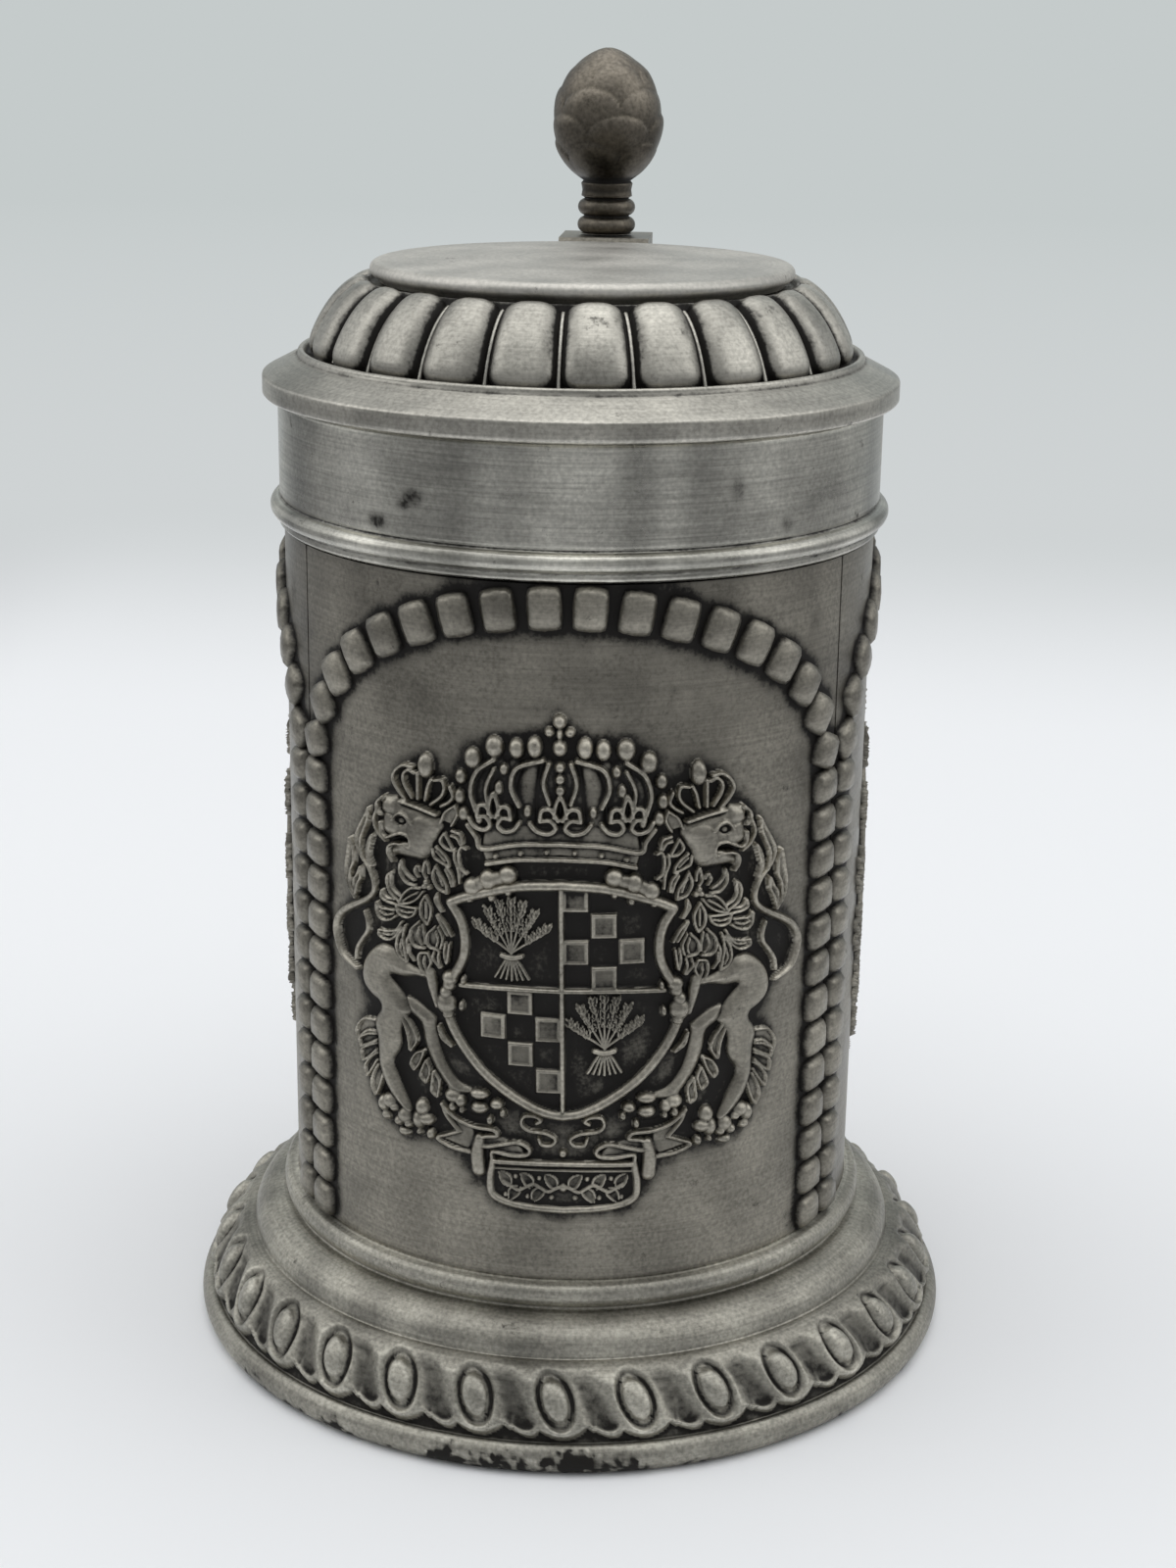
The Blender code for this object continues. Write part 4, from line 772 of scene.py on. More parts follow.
# %% The lions' heads
HOOPS = (
    [(14.5, 91.7), (14.1, 90.5), (14.7, 89.6), (15.8, 88.9)],
    [(16.7, 92.3), (15.6, 92.4), (15.3, 91.4), (15.8, 90.2), (17.3, 88.9)],
    [(17.2, 92.3), (17.7, 91.2), (18.1, 89.4)],
    [(19.2, 92.9), (19.2, 91.6), (19.2, 89.4)],
    [(19.7, 92.8), (20.6, 93.1), (21.4, 92.3), (21.2, 91), (20.1, 89.4)],
    [(20, 93.5), (21.4, 93.6), (22.7, 92.6), (23.1, 91.5), (22.4, 90.2), (21.1, 88.9)],
)
for lion in lions:
    lion.form([(15.8, 87.4), (18.5, 88), (21.5, 88.5), (22.5, 89.2), (23.7, 89.2), (24.7, 89), (25.5, 87.8),
               (25.5, 86.6), (24.9, 85.9), (25.2, 84.8), (24.7, 83.7), (23.8, 83.2), (23, 82.8), (23.9, 82.1),
               (24, 81.2), (23.3, 80.1), (22.7, 80.8), (20.6, 80.8), (18.4, 80.9), (17.2, 82.2), (16.8, 83.6),
               (16.1, 84.6), (15.5, 86)], 1.4, 1.9)
    lion.ball(18.2, 84.4, 2.5, 2.7, 0.3, "on")
    lion.ball(23.6, 85.2, 1.6, 1.5, 0.4, "on")
    lion.ball(23.8, 87.9, 1.3, 1.1, 0.25, "on")
    lion.ball(21.7, 86, 0.95, 0.65, 0.55, "cut")
    lion.ball(21.7, 86, 0.52, 0.42, 0.5, "on")
    lion.ball(24.8, 87.6, 0.3, 0.4, 0.8, "cut")
    lion.roll([(20.7, 83.4, 0.35), (21.9, 83.5, 0.5), (23.8, 82.8, 0.45), (25, 82.5, 0.4)], 1.8, "cut")
    lion.line([(20.2, 82.9), (20.4, 84), (21.6, 84.3), (22.9, 83.8), (24.1, 83.3), (24.8, 83.8), (25, 85.2)], 0.32, 1.8)
    lion.line([(20.2, 83), (20.6, 82.4), (21.4, 82.7), (22.9, 82.6), (23.8, 82), (23.8, 81), (23.2, 80.1)], 0.3, 1.7)
    lion.line([(20, 86), (20.8, 86.9), (21.8, 87.1), (22.9, 86.1)], 0.3, 1.95)
    lion.line([(20.8, 85.7), (21.6, 85.3), (22.6, 85.7)], 0.18, 1.7)
    lion.line([(24.5, 88.8), (25.4, 87.9), (25.4, 86.8), (24.9, 86.3)], 0.34, 1.85)
    lion.line([(24.7, 82.5), (26, 83.4), (26.7, 85), (26, 86.8)], 0.28, 1.1)
    lion.line([(16.4, 87.7), (19, 88.3), (21.8, 88.7)], 0.36, 1.75)
    for hoop in HOOPS:
        lion.line(hoop, 0.34, 1.25)
    lion.ball(18.1, 94, 1.2, 1.85, 1.65)
print("heads laid, highest", round(lions[1].rise.max(), 2), "mm")

# %% The lions' paws
TOES = ((19.7, 45.3, 1.15, 1.4), (19.1, 43.7, 1.3, 1.05), (20.2, 43.4, 1.15, 1.5), (22.5, 43.4, 1.35, 1.35),
        (21.8, 42.5, 0.8, 0.85), (23.4, 42.5, 0.85, 0.85), (25, 44.9, 1.5, 1.25), (26.1, 44.3, 1, 1.4),
        (24.1, 44.3, 0.9, 0.8), (14.9, 48, 1.4, 1.15), (13.8, 47.5, 0.9, 1.1), (11.2, 46.9, 1.35, 0.95),
        (11.2, 48.9, 1.5, 0.85), (8.8, 47.7, 1.05, 0.85), (6.9, 80.4, 1.35, 1.35),
        (9.5, 79.5, 1.35, 1.5), (11.7, 78.3, 1.35, 1.4), (15.1, 65, 1.25, 1.15), (15.7, 62.9, 1, 1),
        (15.7, 61.3, 1.1, 1.2), (15.4, 59.8, 0.9, 0.8))
CLAWS = ((18.5, 41.6, 0.7, 0.95), (20.2, 41.6, 0.5, 0.6), (22.7, 41, 1.1, 0.75), (25.8, 42.6, 0.85, 0.8),
         (15.1, 46.3, 0.65, 0.75), (13.7, 46.1, 0.5, 0.6), (9.8, 45.2, 0.55, 0.8), (8, 46.4, 0.55, 0.75),
         (6.9, 78.2, 0.6, 0.85), (9.1, 77.1, 0.6, 0.7), (12.1, 76.5, 0.55, 0.55),
         (13.2, 64.9, 0.45, 0.8), (13.5, 61.2, 0.5, 0.9))
for lion in lions:
    for balls, rise in ((TOES, 1.6), (CLAWS, 1.2)):
        for ball in balls:
            lion.ball(*ball, rise)
front_wax = Wax(**FRONT_SHEET)
for sheet in front_sheets.values():
    front_wax.rise = np.maximum(front_wax.rise, sheet.rise)
    front_wax.shade += sheet.shade
print("front figures laid, raised share", round(float((front_wax.rise > 0.05).mean()), 2))

# %% [markdown]
# ## The side panels
#
# The two other staves carry a plain country motif that any founder might use: a wreath of hop vine round
# one large hop cone. A loop walks along each stem and sets leaves to its left and right.


# %% Lay a hop wreath
def lay_hop_cone(wax, u, z, size):
    """Rows of bracts from the tip up, so that each row covers the one below it."""
    wide = (0.5, 0.85, 1.0, 0.95, 0.75, 0.45, 0.1)
    for row in range(len(wide))[::-1]:
        for column in range(-2, 3) if row % 2 else (-1.5, -0.5, 0.5, 1.5):
            at = (u + size * 1.15 * column * wide[row], z - size * 1.3 * row)
            tip = (u + size * 1.35 * column * wide[row], z - size * (1.3 * row + 2.3))
            wax.leaf(at, tip, 1.5 * size, 1.35 - 0.1 * abs(column))


def lay_hop_leaf(wax, root, angle, size):
    """Five pointed lobes from one root."""
    for spread, reach in ((-0.9, 0.7), (0.9, 0.7), (-0.45, 0.9), (0.45, 0.9), (0, 1.0)):
        tip = (root[0] + size * reach * math.cos(angle + spread), root[1] + size * reach * math.sin(angle + spread))
        wax.leaf(root, tip, size * 0.42, 1.05)


def lay_wreath(wax):
    """A leafy stem on each side, and one large cone that hangs between them."""
    for _ in wax.sides():
        stem = smooth_line([(0, 36), (12, 40), (22, 52), (24, 68), (18, 84), (8, 95)], 4)
        wax.roll([(u, z, 0.7) for u, z in stem], 0.95)
        for step in range(2, len(stem) - 1, 2):
            run = stem[step] - stem[step - 1]
            heading = math.atan2(run[1], run[0])
            for lean in (-1, 1):
                lay_hop_leaf(wax, stem[step], heading + 0.95 * lean, 6.4)
        lay_hop_leaf(wax, (1, 77), math.pi / 2 - 1.3, 11)
    wax.roll([(0, 76, 0.5), (0.6, 80, 0.6), (-0.6, 86, 0.7)], 0.95)
    lay_hop_cone(wax, 0, 75, 2.0)


side_wax = Wax(34, 28, 104, 0.25)
lay_wreath(side_wax)
print("wreath laid, raised share", round(float((side_wax.rise > 0.05).mean()), 2))

# %% [markdown]
# ## The staves
#
# Each stave is a third of the drum's wall. Its skin is a lattice bent round the axis, with a plain bore
# inside. The patina also gathers on the plain wall close to anything raised, and painted shade spreads a
# little further round it, so the wall's points read the blurred heights of the relief and of the arch
# blocks beside it.

# %% Arch and column stations
ARCH_BLOCKS, COLUMN_BLOCKS = 18, 13
COLUMN = DRUM * math.pi / 3 - 0.3 - 2.6
ARCH_RISE = 26.0
SPRINGING = STAVE_HIGH - 3.0 - ARCH_RISE
LEAN = 0.017
LEAN_PIVOT = 58.0


def block_stations():
    """(u, z, tilt, width, height, kind) of each block: kind 0 in the arch, 1 and 2 in the columns."""
    angles = np.linspace(math.pi, 0, 721)
    curve = np.stack([COLUMN * np.cos(angles), ARCH_RISE * np.sin(angles)], 1)
    lengths = np.concatenate([[0], np.cumsum(np.hypot(*np.diff(curve, axis=0).T))])
    pitch = lengths[-1] / ARCH_BLOCKS
    stations = []
    for block in range(ARCH_BLOCKS):
        index = int(np.searchsorted(lengths, (block + 0.5) * pitch))
        tilt = math.atan2(-math.cos(angles[index]) / COLUMN, math.sin(angles[index]) / ARCH_RISE)
        steep = (tilt / (math.pi / 2)) ** 2
        leant = math.copysign(0.63 * math.sin(1.75 * abs(tilt)), tilt)
        u, z = curve[index]
        stations.append((u, SPRINGING + z, leant, 4.9 + 0.5 * steep, 6.3 - 1.2 * steep, 0))
    column_top = SPRINGING + 0.4
    pitch = (column_top - FOOT_TOP - 0.3) / COLUMN_BLOCKS
    for kind, side in ((1, -1), (2, 1)):
        for block in range(COLUMN_BLOCKS):
            stations.append((side * COLUMN, column_top - (block + 0.5) * pitch, 0.0, 5.3, pitch - 0.4, kind))
    return stations


print("blocks on each stave:", len(block_stations()))

# %% Shade on the wall
SHADE_PITCH = 0.5
# Marks on the wall, each (u, z, half width, half height, strength). The first four darken the wall in small marks. The
# two negative ones are painted light in the spandrels, and the last two are painted shade under the arch.
SMUDGES_AND_PAINTED_LIGHT = ((37, 112, 2.4, 3.6, 0.2), (-9, 103, 8, 1, 0.08), (-30, 60, 1.5, 7, 0.08), (20, 33, 6, 1.5, 0.06),
           (-34, 115, 7, 6, -0.12), (32, 115, 6, 6, -0.12), (4, 106, 16, 4, 0.1), (22, 101, 7, 6, 0.1))


def patina_and_shade_round_figures(wax):
    """How dark the ground lies between and beside the figures, as a depth in mm: patina, and painted shade that spreads
    from them onto the plain wall.
    """
    return 0.4 * soften(wax.rise, 0.8 / wax.pitch) + 0.55 * soften(wax.rise, 2.2 / wax.pitch) + wax.shade


def panel_shade(wax):
    """The blurred heights on a whole stave, in a sheet of its own, as patina and painted shade, with smudges, painted
    shade and painted light marked on.
    """
    sheet = Wax(DRUM * math.pi / 3, STAVE_LOW, STAVE_HIGH, SHADE_PITCH)
    for u, z, tilt, width, height, _ in block_stations():
        cos, sin = math.cos(tilt), math.sin(tilt)
        corners = [(x * width / 2, y * height / 2) for x, y in ((-1, -1), (1, -1), (1, 1), (-1, 1))]
        sheet.plate([(u + x * cos - y * sin, z + x * sin + y * cos) for x, y in corners], 1.0, 0.2)
    across, up = np.meshgrid(sheet.u, sheet.z)
    column = np.clip(np.searchsorted(wax.u, across + LEAN * (up - LEAN_PIVOT)), 0, len(wax.u) - 1)
    row = np.clip(np.searchsorted(wax.z, up), 0, len(wax.z) - 1)
    # Patina at the blocks' feet, with painted shade blurred about 1.3 mm round them.
    patina_and_shade_beside_blocks = 0.85 * soften(sheet.rise, 2.6)
    return np.maximum(patina_and_shade_beside_blocks, patina_and_shade_round_figures(wax)[row, column]) + marked(across, up, SMUDGES_AND_PAINTED_LIGHT)


front_shade, side_shade = panel_shade(front_wax), panel_shade(side_wax)
print("deepest shade on the front wall:", round(float(front_shade.max()), 2), "mm")


# %% Form the staves
def make_stave(name, centre, shade):
    """A third of the wall: the shaded outer skin, and a plain bore that overlaps its neighbours' a little."""
    half, inner_half = math.pi / 3 - 0.15 / BORE, math.pi / 3 + 0.02 / BORE
    rows, columns, inner = 232, 176, 24
    heights = np.linspace(STAVE_LOW, STAVE_HIGH, rows)
    turns = np.concatenate([np.linspace(-half, half, columns), np.linspace(inner_half, -inner_half, inner)])
    radii = np.concatenate([np.full(columns, DRUM), np.full(inner, BORE)])
    faces = tube(rows, columns + inner)
    piece = make_piece(name + "_wall", spin(np.tile(radii, (rows, 1)), heights, centre + turns), faces, cast_pewter)
    row, column = (np.clip(np.round(places / SHADE_PITCH).astype(int), 0, count - 1) for places, count in zip(
        (heights - STAVE_LOW, turns * DRUM + DRUM * math.pi / 3), shade.shape))
    depths = shade[row][:, column]
    depths[:, columns:] = 0
    # Painted shade just under the rim band and just over the foot.
    under_rim, over_foot = (STAVE_HIGH - heights[:, None]) / 0.6, (heights[:, None] - FOOT_TOP) / 0.6
    depths += 0.16 * np.exp(-under_rim) + 0.04 * np.exp(-over_foot ** 2)
    seam = np.minimum(np.abs(turns - half), np.abs(turns + half)) * DRUM
    depths += 0.1 * np.exp(-(seam / 0.35) ** 2)
    store_patina_and_shade(piece, depths)
    piece.data.set_sharp_from_angle(angle=math.radians(40))
    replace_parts(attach(piece, "mug"), name)
    print(piece.name, len(faces), "faces")


for name, centre in STAVES.items():
    make_stave(name, centre, front_shade if name == "front_stave" else side_shade)

# %% [markdown]
# ## Casting the relief
#
# A closed body is cut from each wax sheet: the raised skin on top, a coarse back sunk in the wall, and
# a skirt between them. Only squares with something raised in them or beside them are kept, which leaves
# all the triangles for the figures.


# %% Cast the relief
SQUARE = 4  # lattice steps along each side of the squares that are kept or left out


def cast_faces(near):
    """Top, back and skirt over the squares with something raised nearby, and the points that they use."""
    rows, columns = ((count - 1) // SQUARE for count in near.shape)
    keep = np.zeros((rows, columns), bool)
    for row, column in np.ndindex(rows, columns):
        low, left = row * SQUARE, column * SQUARE
        keep[row, column] = near[low:low + SQUARE + 1, left:left + SQUARE + 1].max() > 0.01
    width, back_start = near.shape[1], near.size
    over = SQUARE * width
    row, column = np.nonzero(np.kron(keep, np.ones((SQUARE, SQUARE), bool)))
    corner = row * width + column
    top = np.stack([corner, corner + 1, corner + width + 1, corner + width], 1)
    row, column = np.nonzero(keep)
    corner = back_start + row * over + column * SQUARE
    back = np.stack([corner, corner + over, corner + over + SQUARE, corner + SQUARE], 1)
    skirts = []
    for row, column in zip(row, column):
        start = row * over + column * SQUARE
        for aside, first, step in (((-1, 0), start, 1), ((1, 0), start + over + SQUARE, -1),
                                   ((0, 1), start + SQUARE, width), ((0, -1), start + over, -width)):
            beside = (row + aside[0], column + aside[1])
            if not (0 <= beside[0] < rows and 0 <= beside[1] < columns and keep[beside]):
                edge = [first + step * index for index in range(SQUARE + 1)]
                skirts.append(edge[::-1] + [edge[0] + back_start, edge[-1] + back_start])
    used = np.unique(np.concatenate([top.ravel(), back.ravel(), np.array([c for skirt in skirts for c in skirt])]))
    number = np.zeros(2 * back_start, int)
    number[used] = np.arange(len(used))
    return number[top].tolist() + number[back].tolist() + [number[skirt].tolist() for skirt in skirts], used


def cast_relief(name, wax, ground, centre, lean):
    """A closed body with the heights of one sheet, and with the shade of the ground that it stands on."""
    near = soften(wax.rise, 0.25 / wax.pitch)
    faces, used = cast_faces(near)
    across, up = np.meshgrid(wax.u, wax.z)
    angle = centre + (across - lean * (up - LEAN_PIVOT)) / DRUM
    skin = DRUM + wax.rise + np.interp(near, (0, 0.03), (-0.15, 0.02))
    skins = [np.stack([radius * np.cos(angle), radius * np.sin(angle), up], -1).reshape(-1, 3)
             for radius in (skin, np.full_like(skin, DRUM - 0.4))]
    piece = make_piece(name, np.concatenate(skins)[used], faces, cast_pewter)
    high = np.clip(wax.rise / 0.55, 0, 1)
    broad, narrow = (soften(wax.rise, reach / wax.pitch) - wax.rise for reach in (0.9, 0.32))
    deep = (1 - high) * patina_and_shade_round_figures(ground) + high * (0.6 * broad + 1.2 * narrow + ground.shade)
    store_patina_and_shade(piece, np.concatenate([deep.ravel(), np.zeros(deep.size)])[used])
    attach(piece, "mug")
    print(name, sum(len(face) - 2 for face in faces), "triangles")


for motif, sheet in front_sheets.items():
    cast_relief(motif + "_relief", sheet, front_wax, STAVES["front_stave"], LEAN)
for name in ("right", "left"):
    cast_relief(name + "_relief", side_wax, side_wax, STAVES[name + "_stave"], 0.0)

# %% [markdown]
# ## Arch and column blocks
#
# Each stave has an arch of pillow-like blocks on two columns of slanted ones: one shape, repeated over
# a hundred times. Geometry Nodes set a block on each point of a flat plan, turn and size it by the point's
# attributes, and then bend the whole plan round the drum.


# %% One pillow block
def make_block(name, slant):
    """A pillow one unit wide, deep and high, closed by one flat face at its back."""
    side = np.array([-1, -0.9, -0.6, 0, 0.6, 0.9, 1])
    steps = len(side)
    across, up = np.meshgrid(side, side)
    stretch = 1 - 0.13 * np.abs(across * up) ** 2
    swell = ((1 - np.abs(across) ** 4.2) * (1 - np.abs(up) ** 4.2)) ** 0.5
    x, z = across * stretch / 2, up * stretch / 2
    points = np.stack([x, swell - 0.35 * (swell == 0), z + slant * x], -1)
    back = [0, steps * (steps - 1), steps * steps - 1, steps - 1]
    block = make_piece(name, points / MM, lattice(steps, steps, False, False) + [back], cast_pewter)
    store_patina_and_shade(block, 0.45 - 0.62 * swell)
    return block


shapes = [make_block("straight_block", 0.0), make_block("left_block", -0.08), make_block("right_block", 0.08)]
print("block faces:", [len(shape.data.polygons) for shape in shapes])


# %% The block tree
def new_tree(name, inputs, output):
    """A geometry tree with named inputs and one output, and the sockets that bring its inputs."""
    tree = bpy.data.node_groups.new(name, "GeometryNodeTree")
    for socket, kind in inputs.items():
        tree.interface.new_socket(socket, in_out="INPUT", socket_type="NodeSocket" + kind)
    tree.interface.new_socket(output, in_out="OUTPUT", socket_type="NodeSocketGeometry")
    return tree, add_node(tree, "NodeGroupInput").outputs


def make_block_tree():
    """Sets a block on each point of a flat plan, and bends the plan round the drum."""
    tree, inside = new_tree("blocks_round_drum", {
        "Plan": "Geometry", "Straight block": "Object", "Left block": "Object", "Right block": "Object",
        "Drum radius": "Float", "Finish": "Material"}, "Blocks")
    turn, size, kind = (
        add_node(tree, "GeometryNodeInputNamedAttribute", {"Name": name}, data_type=data_type).outputs[0]
        for name, data_type in (("turn", "FLOAT_VECTOR"), ("size", "FLOAT_VECTOR"), ("kind", "INT")))
    joined = add_node(tree, "GeometryNodeJoinGeometry")
    for index, name in enumerate(("Straight block", "Left block", "Right block")):
        shape = add_node(tree, "GeometryNodeObjectInfo", {"Object": inside[name]}).outputs["Geometry"]
        chosen = add_node(tree, "FunctionNodeCompare", {2: kind, 3: index}, data_type="INT", operation="EQUAL")
        placed = add_node(tree, "GeometryNodeInstanceOnPoints", {
            "Points": inside["Plan"], "Selection": chosen.outputs[0], "Instance": shape, "Rotation": turn,
            "Scale": size})
        tree.links.new(placed.outputs[0], joined.inputs[0])
    real = add_node(tree, "GeometryNodeRealizeInstances", {0: joined.outputs[0]}).outputs[0]
    flat = add_node(tree, "ShaderNodeSeparateXYZ", {0: add_node(tree, "GeometryNodeInputPosition").outputs[0]}).outputs
    angle = add_node(tree, "ShaderNodeMath", {0: flat["X"], 1: inside["Drum radius"]}, operation="DIVIDE").outputs[0]
    reach = add_node(tree, "ShaderNodeMath", {0: flat["Y"], 1: inside["Drum radius"]}, operation="ADD").outputs[0]
    bent = {"Z": flat["Z"]}
    for axis, operation in (("X", "COSINE"), ("Y", "SINE")):
        share = add_node(tree, "ShaderNodeMath", {0: angle}, operation=operation).outputs[0]
        bent[axis] = add_node(tree, "ShaderNodeMath", {0: reach, 1: share}, operation="MULTIPLY").outputs[0]
    place = add_node(tree, "ShaderNodeCombineXYZ", bent).outputs[0]
    moved = add_node(tree, "GeometryNodeSetPosition", {"Geometry": real, "Position": place}).outputs[0]
    done = add_node(tree, "GeometryNodeSetMaterial", {"Geometry": moved, "Material": inside["Finish"]}).outputs[0]
    add_node(tree, "NodeGroupOutput", {0: done})
    return tree


block_tree = make_block_tree()
print("block tree:", len(block_tree.nodes), "nodes")


# %% Run the tree and set the blocks
BLOCK_DEEP = 1.5


def grow(name, start, tree, inputs):
    """Runs a node tree on a start mesh and keeps the result as a plain mesh."""
    piece = add_object(name, start)
    modifier = piece.modifiers.new(tree.name, "NODES")
    modifier.node_group = tree
    sockets = {item.name: item.identifier for item in tree.interface.items_tree if item.in_out == "INPUT"}
    for key, value in inputs.items():
        modifier[sockets[key]] = value
    bpy.context.view_layer.update()
    mesh = bpy.data.meshes.new_from_object(piece.evaluated_get(bpy.context.evaluated_depsgraph_get()))
    piece.modifiers.clear()
    piece.data = mesh
    mesh.shade_smooth()
    print(name, len(mesh.polygons), "faces")
    return piece


around, up, tilt, wide, high, kind = np.array([
    (centre * DRUM + u, *station) for centre in STAVES.values() for u, *station in block_stations()]).T
flat = np.zeros_like(around)
plan = bpy.data.meshes.new("block_plan")
plan.from_pydata((np.stack([around, flat, up], 1) * MM).tolist(), [], [])
for name, values in (("turn", np.stack([flat, -tilt, flat], 1)),
                     ("size", np.stack([wide, flat + BLOCK_DEEP, high], 1) * MM)):
    vectors = plan.attributes.new(name, "FLOAT_VECTOR", "POINT").data
    vectors.foreach_set("vector", values.astype(np.float32).ravel())
plan.attributes.new("kind", "INT", "POINT").data.foreach_set("value", kind.astype(int).tolist())
blocks = grow("arch_blocks", plan, block_tree, {
    "Straight block": shapes[0], "Left block": shapes[1], "Right block": shapes[2], "Drum radius": DRUM * MM,
    "Finish": cast_pewter})
for shape in shapes:
    bpy.data.objects.remove(shape)
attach(blocks, "mug")

# %% [markdown]
# ## The rim band and the base plate
#
# Both were turned on a lathe. An outline spun round the axis gives the same shape, and the lines of the
# tool come from the finish. The bead at the band's lower edge meets it in a dark crease.

# %% Turn the rim band and the base
RIM = 42.0
BEAD_LEVEL = RIM_LOW + 2.6
rim_outline = [(BORE, RIM_HIGH), (41.5, RIM_HIGH), (41.85, RIM_HIGH - 0.12), (RIM, RIM_HIGH - 0.5),
               (RIM, BEAD_LEVEL + 1.8), (41.8, BEAD_LEVEL + 1.5), *arc((RIM, BEAD_LEVEL), 1.3, 1.3, 80, -80, 14),
               (RIM, BEAD_LEVEL - 1.5), (42.1, RIM_LOW + 0.4), (41.75, RIM_LOW), (BORE, RIM_LOW)]
# Tarnish spots on the band, and a darker line all round its lower edge.
rim_marks = [(-26, 125.5, 1.9, 1.5, 0.36), (-20.5, 129.3, 2.0, 1.7, 0.32), (-22, 128, 0.9, 0.9, 0.25),
                 (-36, 129, 1.5, 2.2, 0.2), (22, 131, 1.5, 2.5, 0.24), (30, 125.6, 1.4, 1.4, 0.26),
                 (0, RIM_LOW + 0.2, 999, 1.0, 0.17)]
rim_band = turned("turned_rim_band", rim_outline, turned_pewter, True, marks=rim_marks)
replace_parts(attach(rim_band, "mug"), "rim_band")

base_outline = [(0.4, 4.0), (40.9, 4.0), (41.3, 3.7), (41.4, 3.2), (41.4, 1.4), (41.1, 1.0), (33, 1.0),
                (32.7, 1.25), (32.2, 1.25), (31.9, 1.0), (0.4, 1.0)]
base_plate = turned("turned_base_plate", base_outline, turned_pewter, False, spacing=0.8)
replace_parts(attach(base_plate, "mug"), "base_plate")

# %% [markdown]
# ## The foot
#
# The flared foot has a bead and an ovolo over a band of leaning eggs, each set in a dark ring, with hollow
# tongues between them that lean further. The rule for one egg and one tongue is written once, as a height
# over the band, and read for every point of the lattice.

# %% One egg and one tongue
EGGS, EGG_STEPS = 30, 30
BAND_TOP, BAND_LOW = np.array([48.4, FOOT_TOP - 8.2]), np.array([54.3, 4.4])
BAND_RUN = (BAND_LOW - BAND_TOP) / np.linalg.norm(BAND_LOW - BAND_TOP)
BAND_OUT = np.array([-BAND_RUN[1], BAND_RUN[0]])
BAND_WIDTH = np.linalg.norm(BAND_LOW - BAND_TOP)
EGG_LEAN, TONGUE_LEAN = math.radians(13), math.radians(28)
EGG_PITCH = math.tau * 51.6 / EGGS


def egg_rise(around, down):
    """Height of the ornament, and how dark it lies, at distances from an egg's middle, in mm."""
    leaning = around - math.tan(EGG_LEAN) * down
    apart = np.hypot(leaning / 2.3, (down - 0.15) / 3.6)
    end = 5.2 - 0.11 * leaning ** 2
    valley = np.zeros(leaning.shape)
    for side in (-0.5, 0.5):
        x = around - side * EGG_PITCH - math.tan(TONGUE_LEAN) * (down - 1)
        end = np.maximum(end, 4.95 - 0.22 * x ** 2)
        valley = np.maximum(valley, np.exp(-np.abs(x / 2.25) ** 2.6))
    valley = valley * np.clip((down + 4.2) / 2, 0, 1) * np.clip((end - down - 0.25) / 0.9, 0, 1)
    ring = np.exp(-((apart - 0.97) / 0.17) ** 2)
    egg = 0.7 + 1.1 * np.sqrt(np.clip(1 - (apart / 0.86) ** 2, 0, 1))
    rise = np.where(apart < 0.86, egg, 1.3 - 1.05 * valley)
    rise = (rise - 0.95 * ring) * np.clip((end - down) / 0.6, 0, 1) ** 0.6
    # Patina lies in the rings and tongues. The tongues darken further down the band as painted shade, the band's top is
    # a little darker, and painted shadow lies below the lower ends of eggs and tongues.
    dark = (0.12 + 0.16 * np.clip(np.abs(leaning) / 1.8, 0, 1)) * ring + (0.36 + 0.03 * down) * valley - 0.08
    dark += 0.2 * np.clip(-down / 1.5 - 2, 0, 1) + 0.5 * np.clip((down - end + 0.15) / 0.3, 0, 1)
    return np.maximum(rise, 0), dark


print("eggs:", EGGS, "about", round(EGG_PITCH, 1), "mm apart on a band", round(BAND_WIDTH, 1), "mm wide")

# %% Form the foot
FOOT_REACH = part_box("foot_ring")[1].x / MM
neck, bead_low = DRUM + 0.8, FOOT_TOP - 3.4
upper = [(41.3, FOOT_TOP + 0.4), (41.65, FOOT_TOP + 0.2), *arc((neck, bead_low + 1.7), 1.3, 1.7, 80, -68, 14),
         (neck + 0.15, bead_low - 0.05),
         *arc((neck + 0.3, BAND_TOP[1] + 0.2), BAND_TOP[0] - neck - 0.6, 4.3, 86, 6, 20),
         tuple(BAND_TOP - (0.25, 0.05))]
lower = [tuple(BAND_LOW + (-0.15, -0.25)), *arc((FOOT_REACH - 2.05, 2.2), 2.05, 2.2, 70, -86, 16)]
hidden = [(54.2, 0.0), (51.7, 0.0), (51.0, 4.4), (45.8, 10.7), (41.7, 12.0), upper[0]]
upper_line, lower_line = trace(upper, 0.42), np.concatenate([trace(lower, 0.45), trace(hidden, 4)[:-1]])
columns = np.arange(EGGS * EGG_STEPS)
foot_turns = columns * math.tau / EGGS / EGG_STEPS
foot_angles = FRONT + foot_turns
offset = ((columns + EGG_STEPS // 2) % EGG_STEPS - EGG_STEPS // 2) * math.tau / EGGS / EGG_STEPS
share = np.linspace(0, 1, 42)[:, None]
band = BAND_TOP + share * (BAND_LOW - BAND_TOP) + BAND_OUT * 0.8 * 4 * share * (1 - share)
rise, dark = egg_rise(offset[None] * band[:, :1], (share - 0.5) * BAND_WIDTH)
rise = rise * np.clip(np.minimum(3.5 * share, 30 * (1 - share)), 0, 1) ** 0.7
foot_points = np.concatenate([
    spin(upper_line[:, 0], upper_line[:, 1], foot_angles),
    spin(band[:, :1] + rise * BAND_OUT[0], band[:, 1:] + rise * BAND_OUT[1], foot_angles),
    spin(lower_line[:, 0], lower_line[:, 1], foot_angles)])
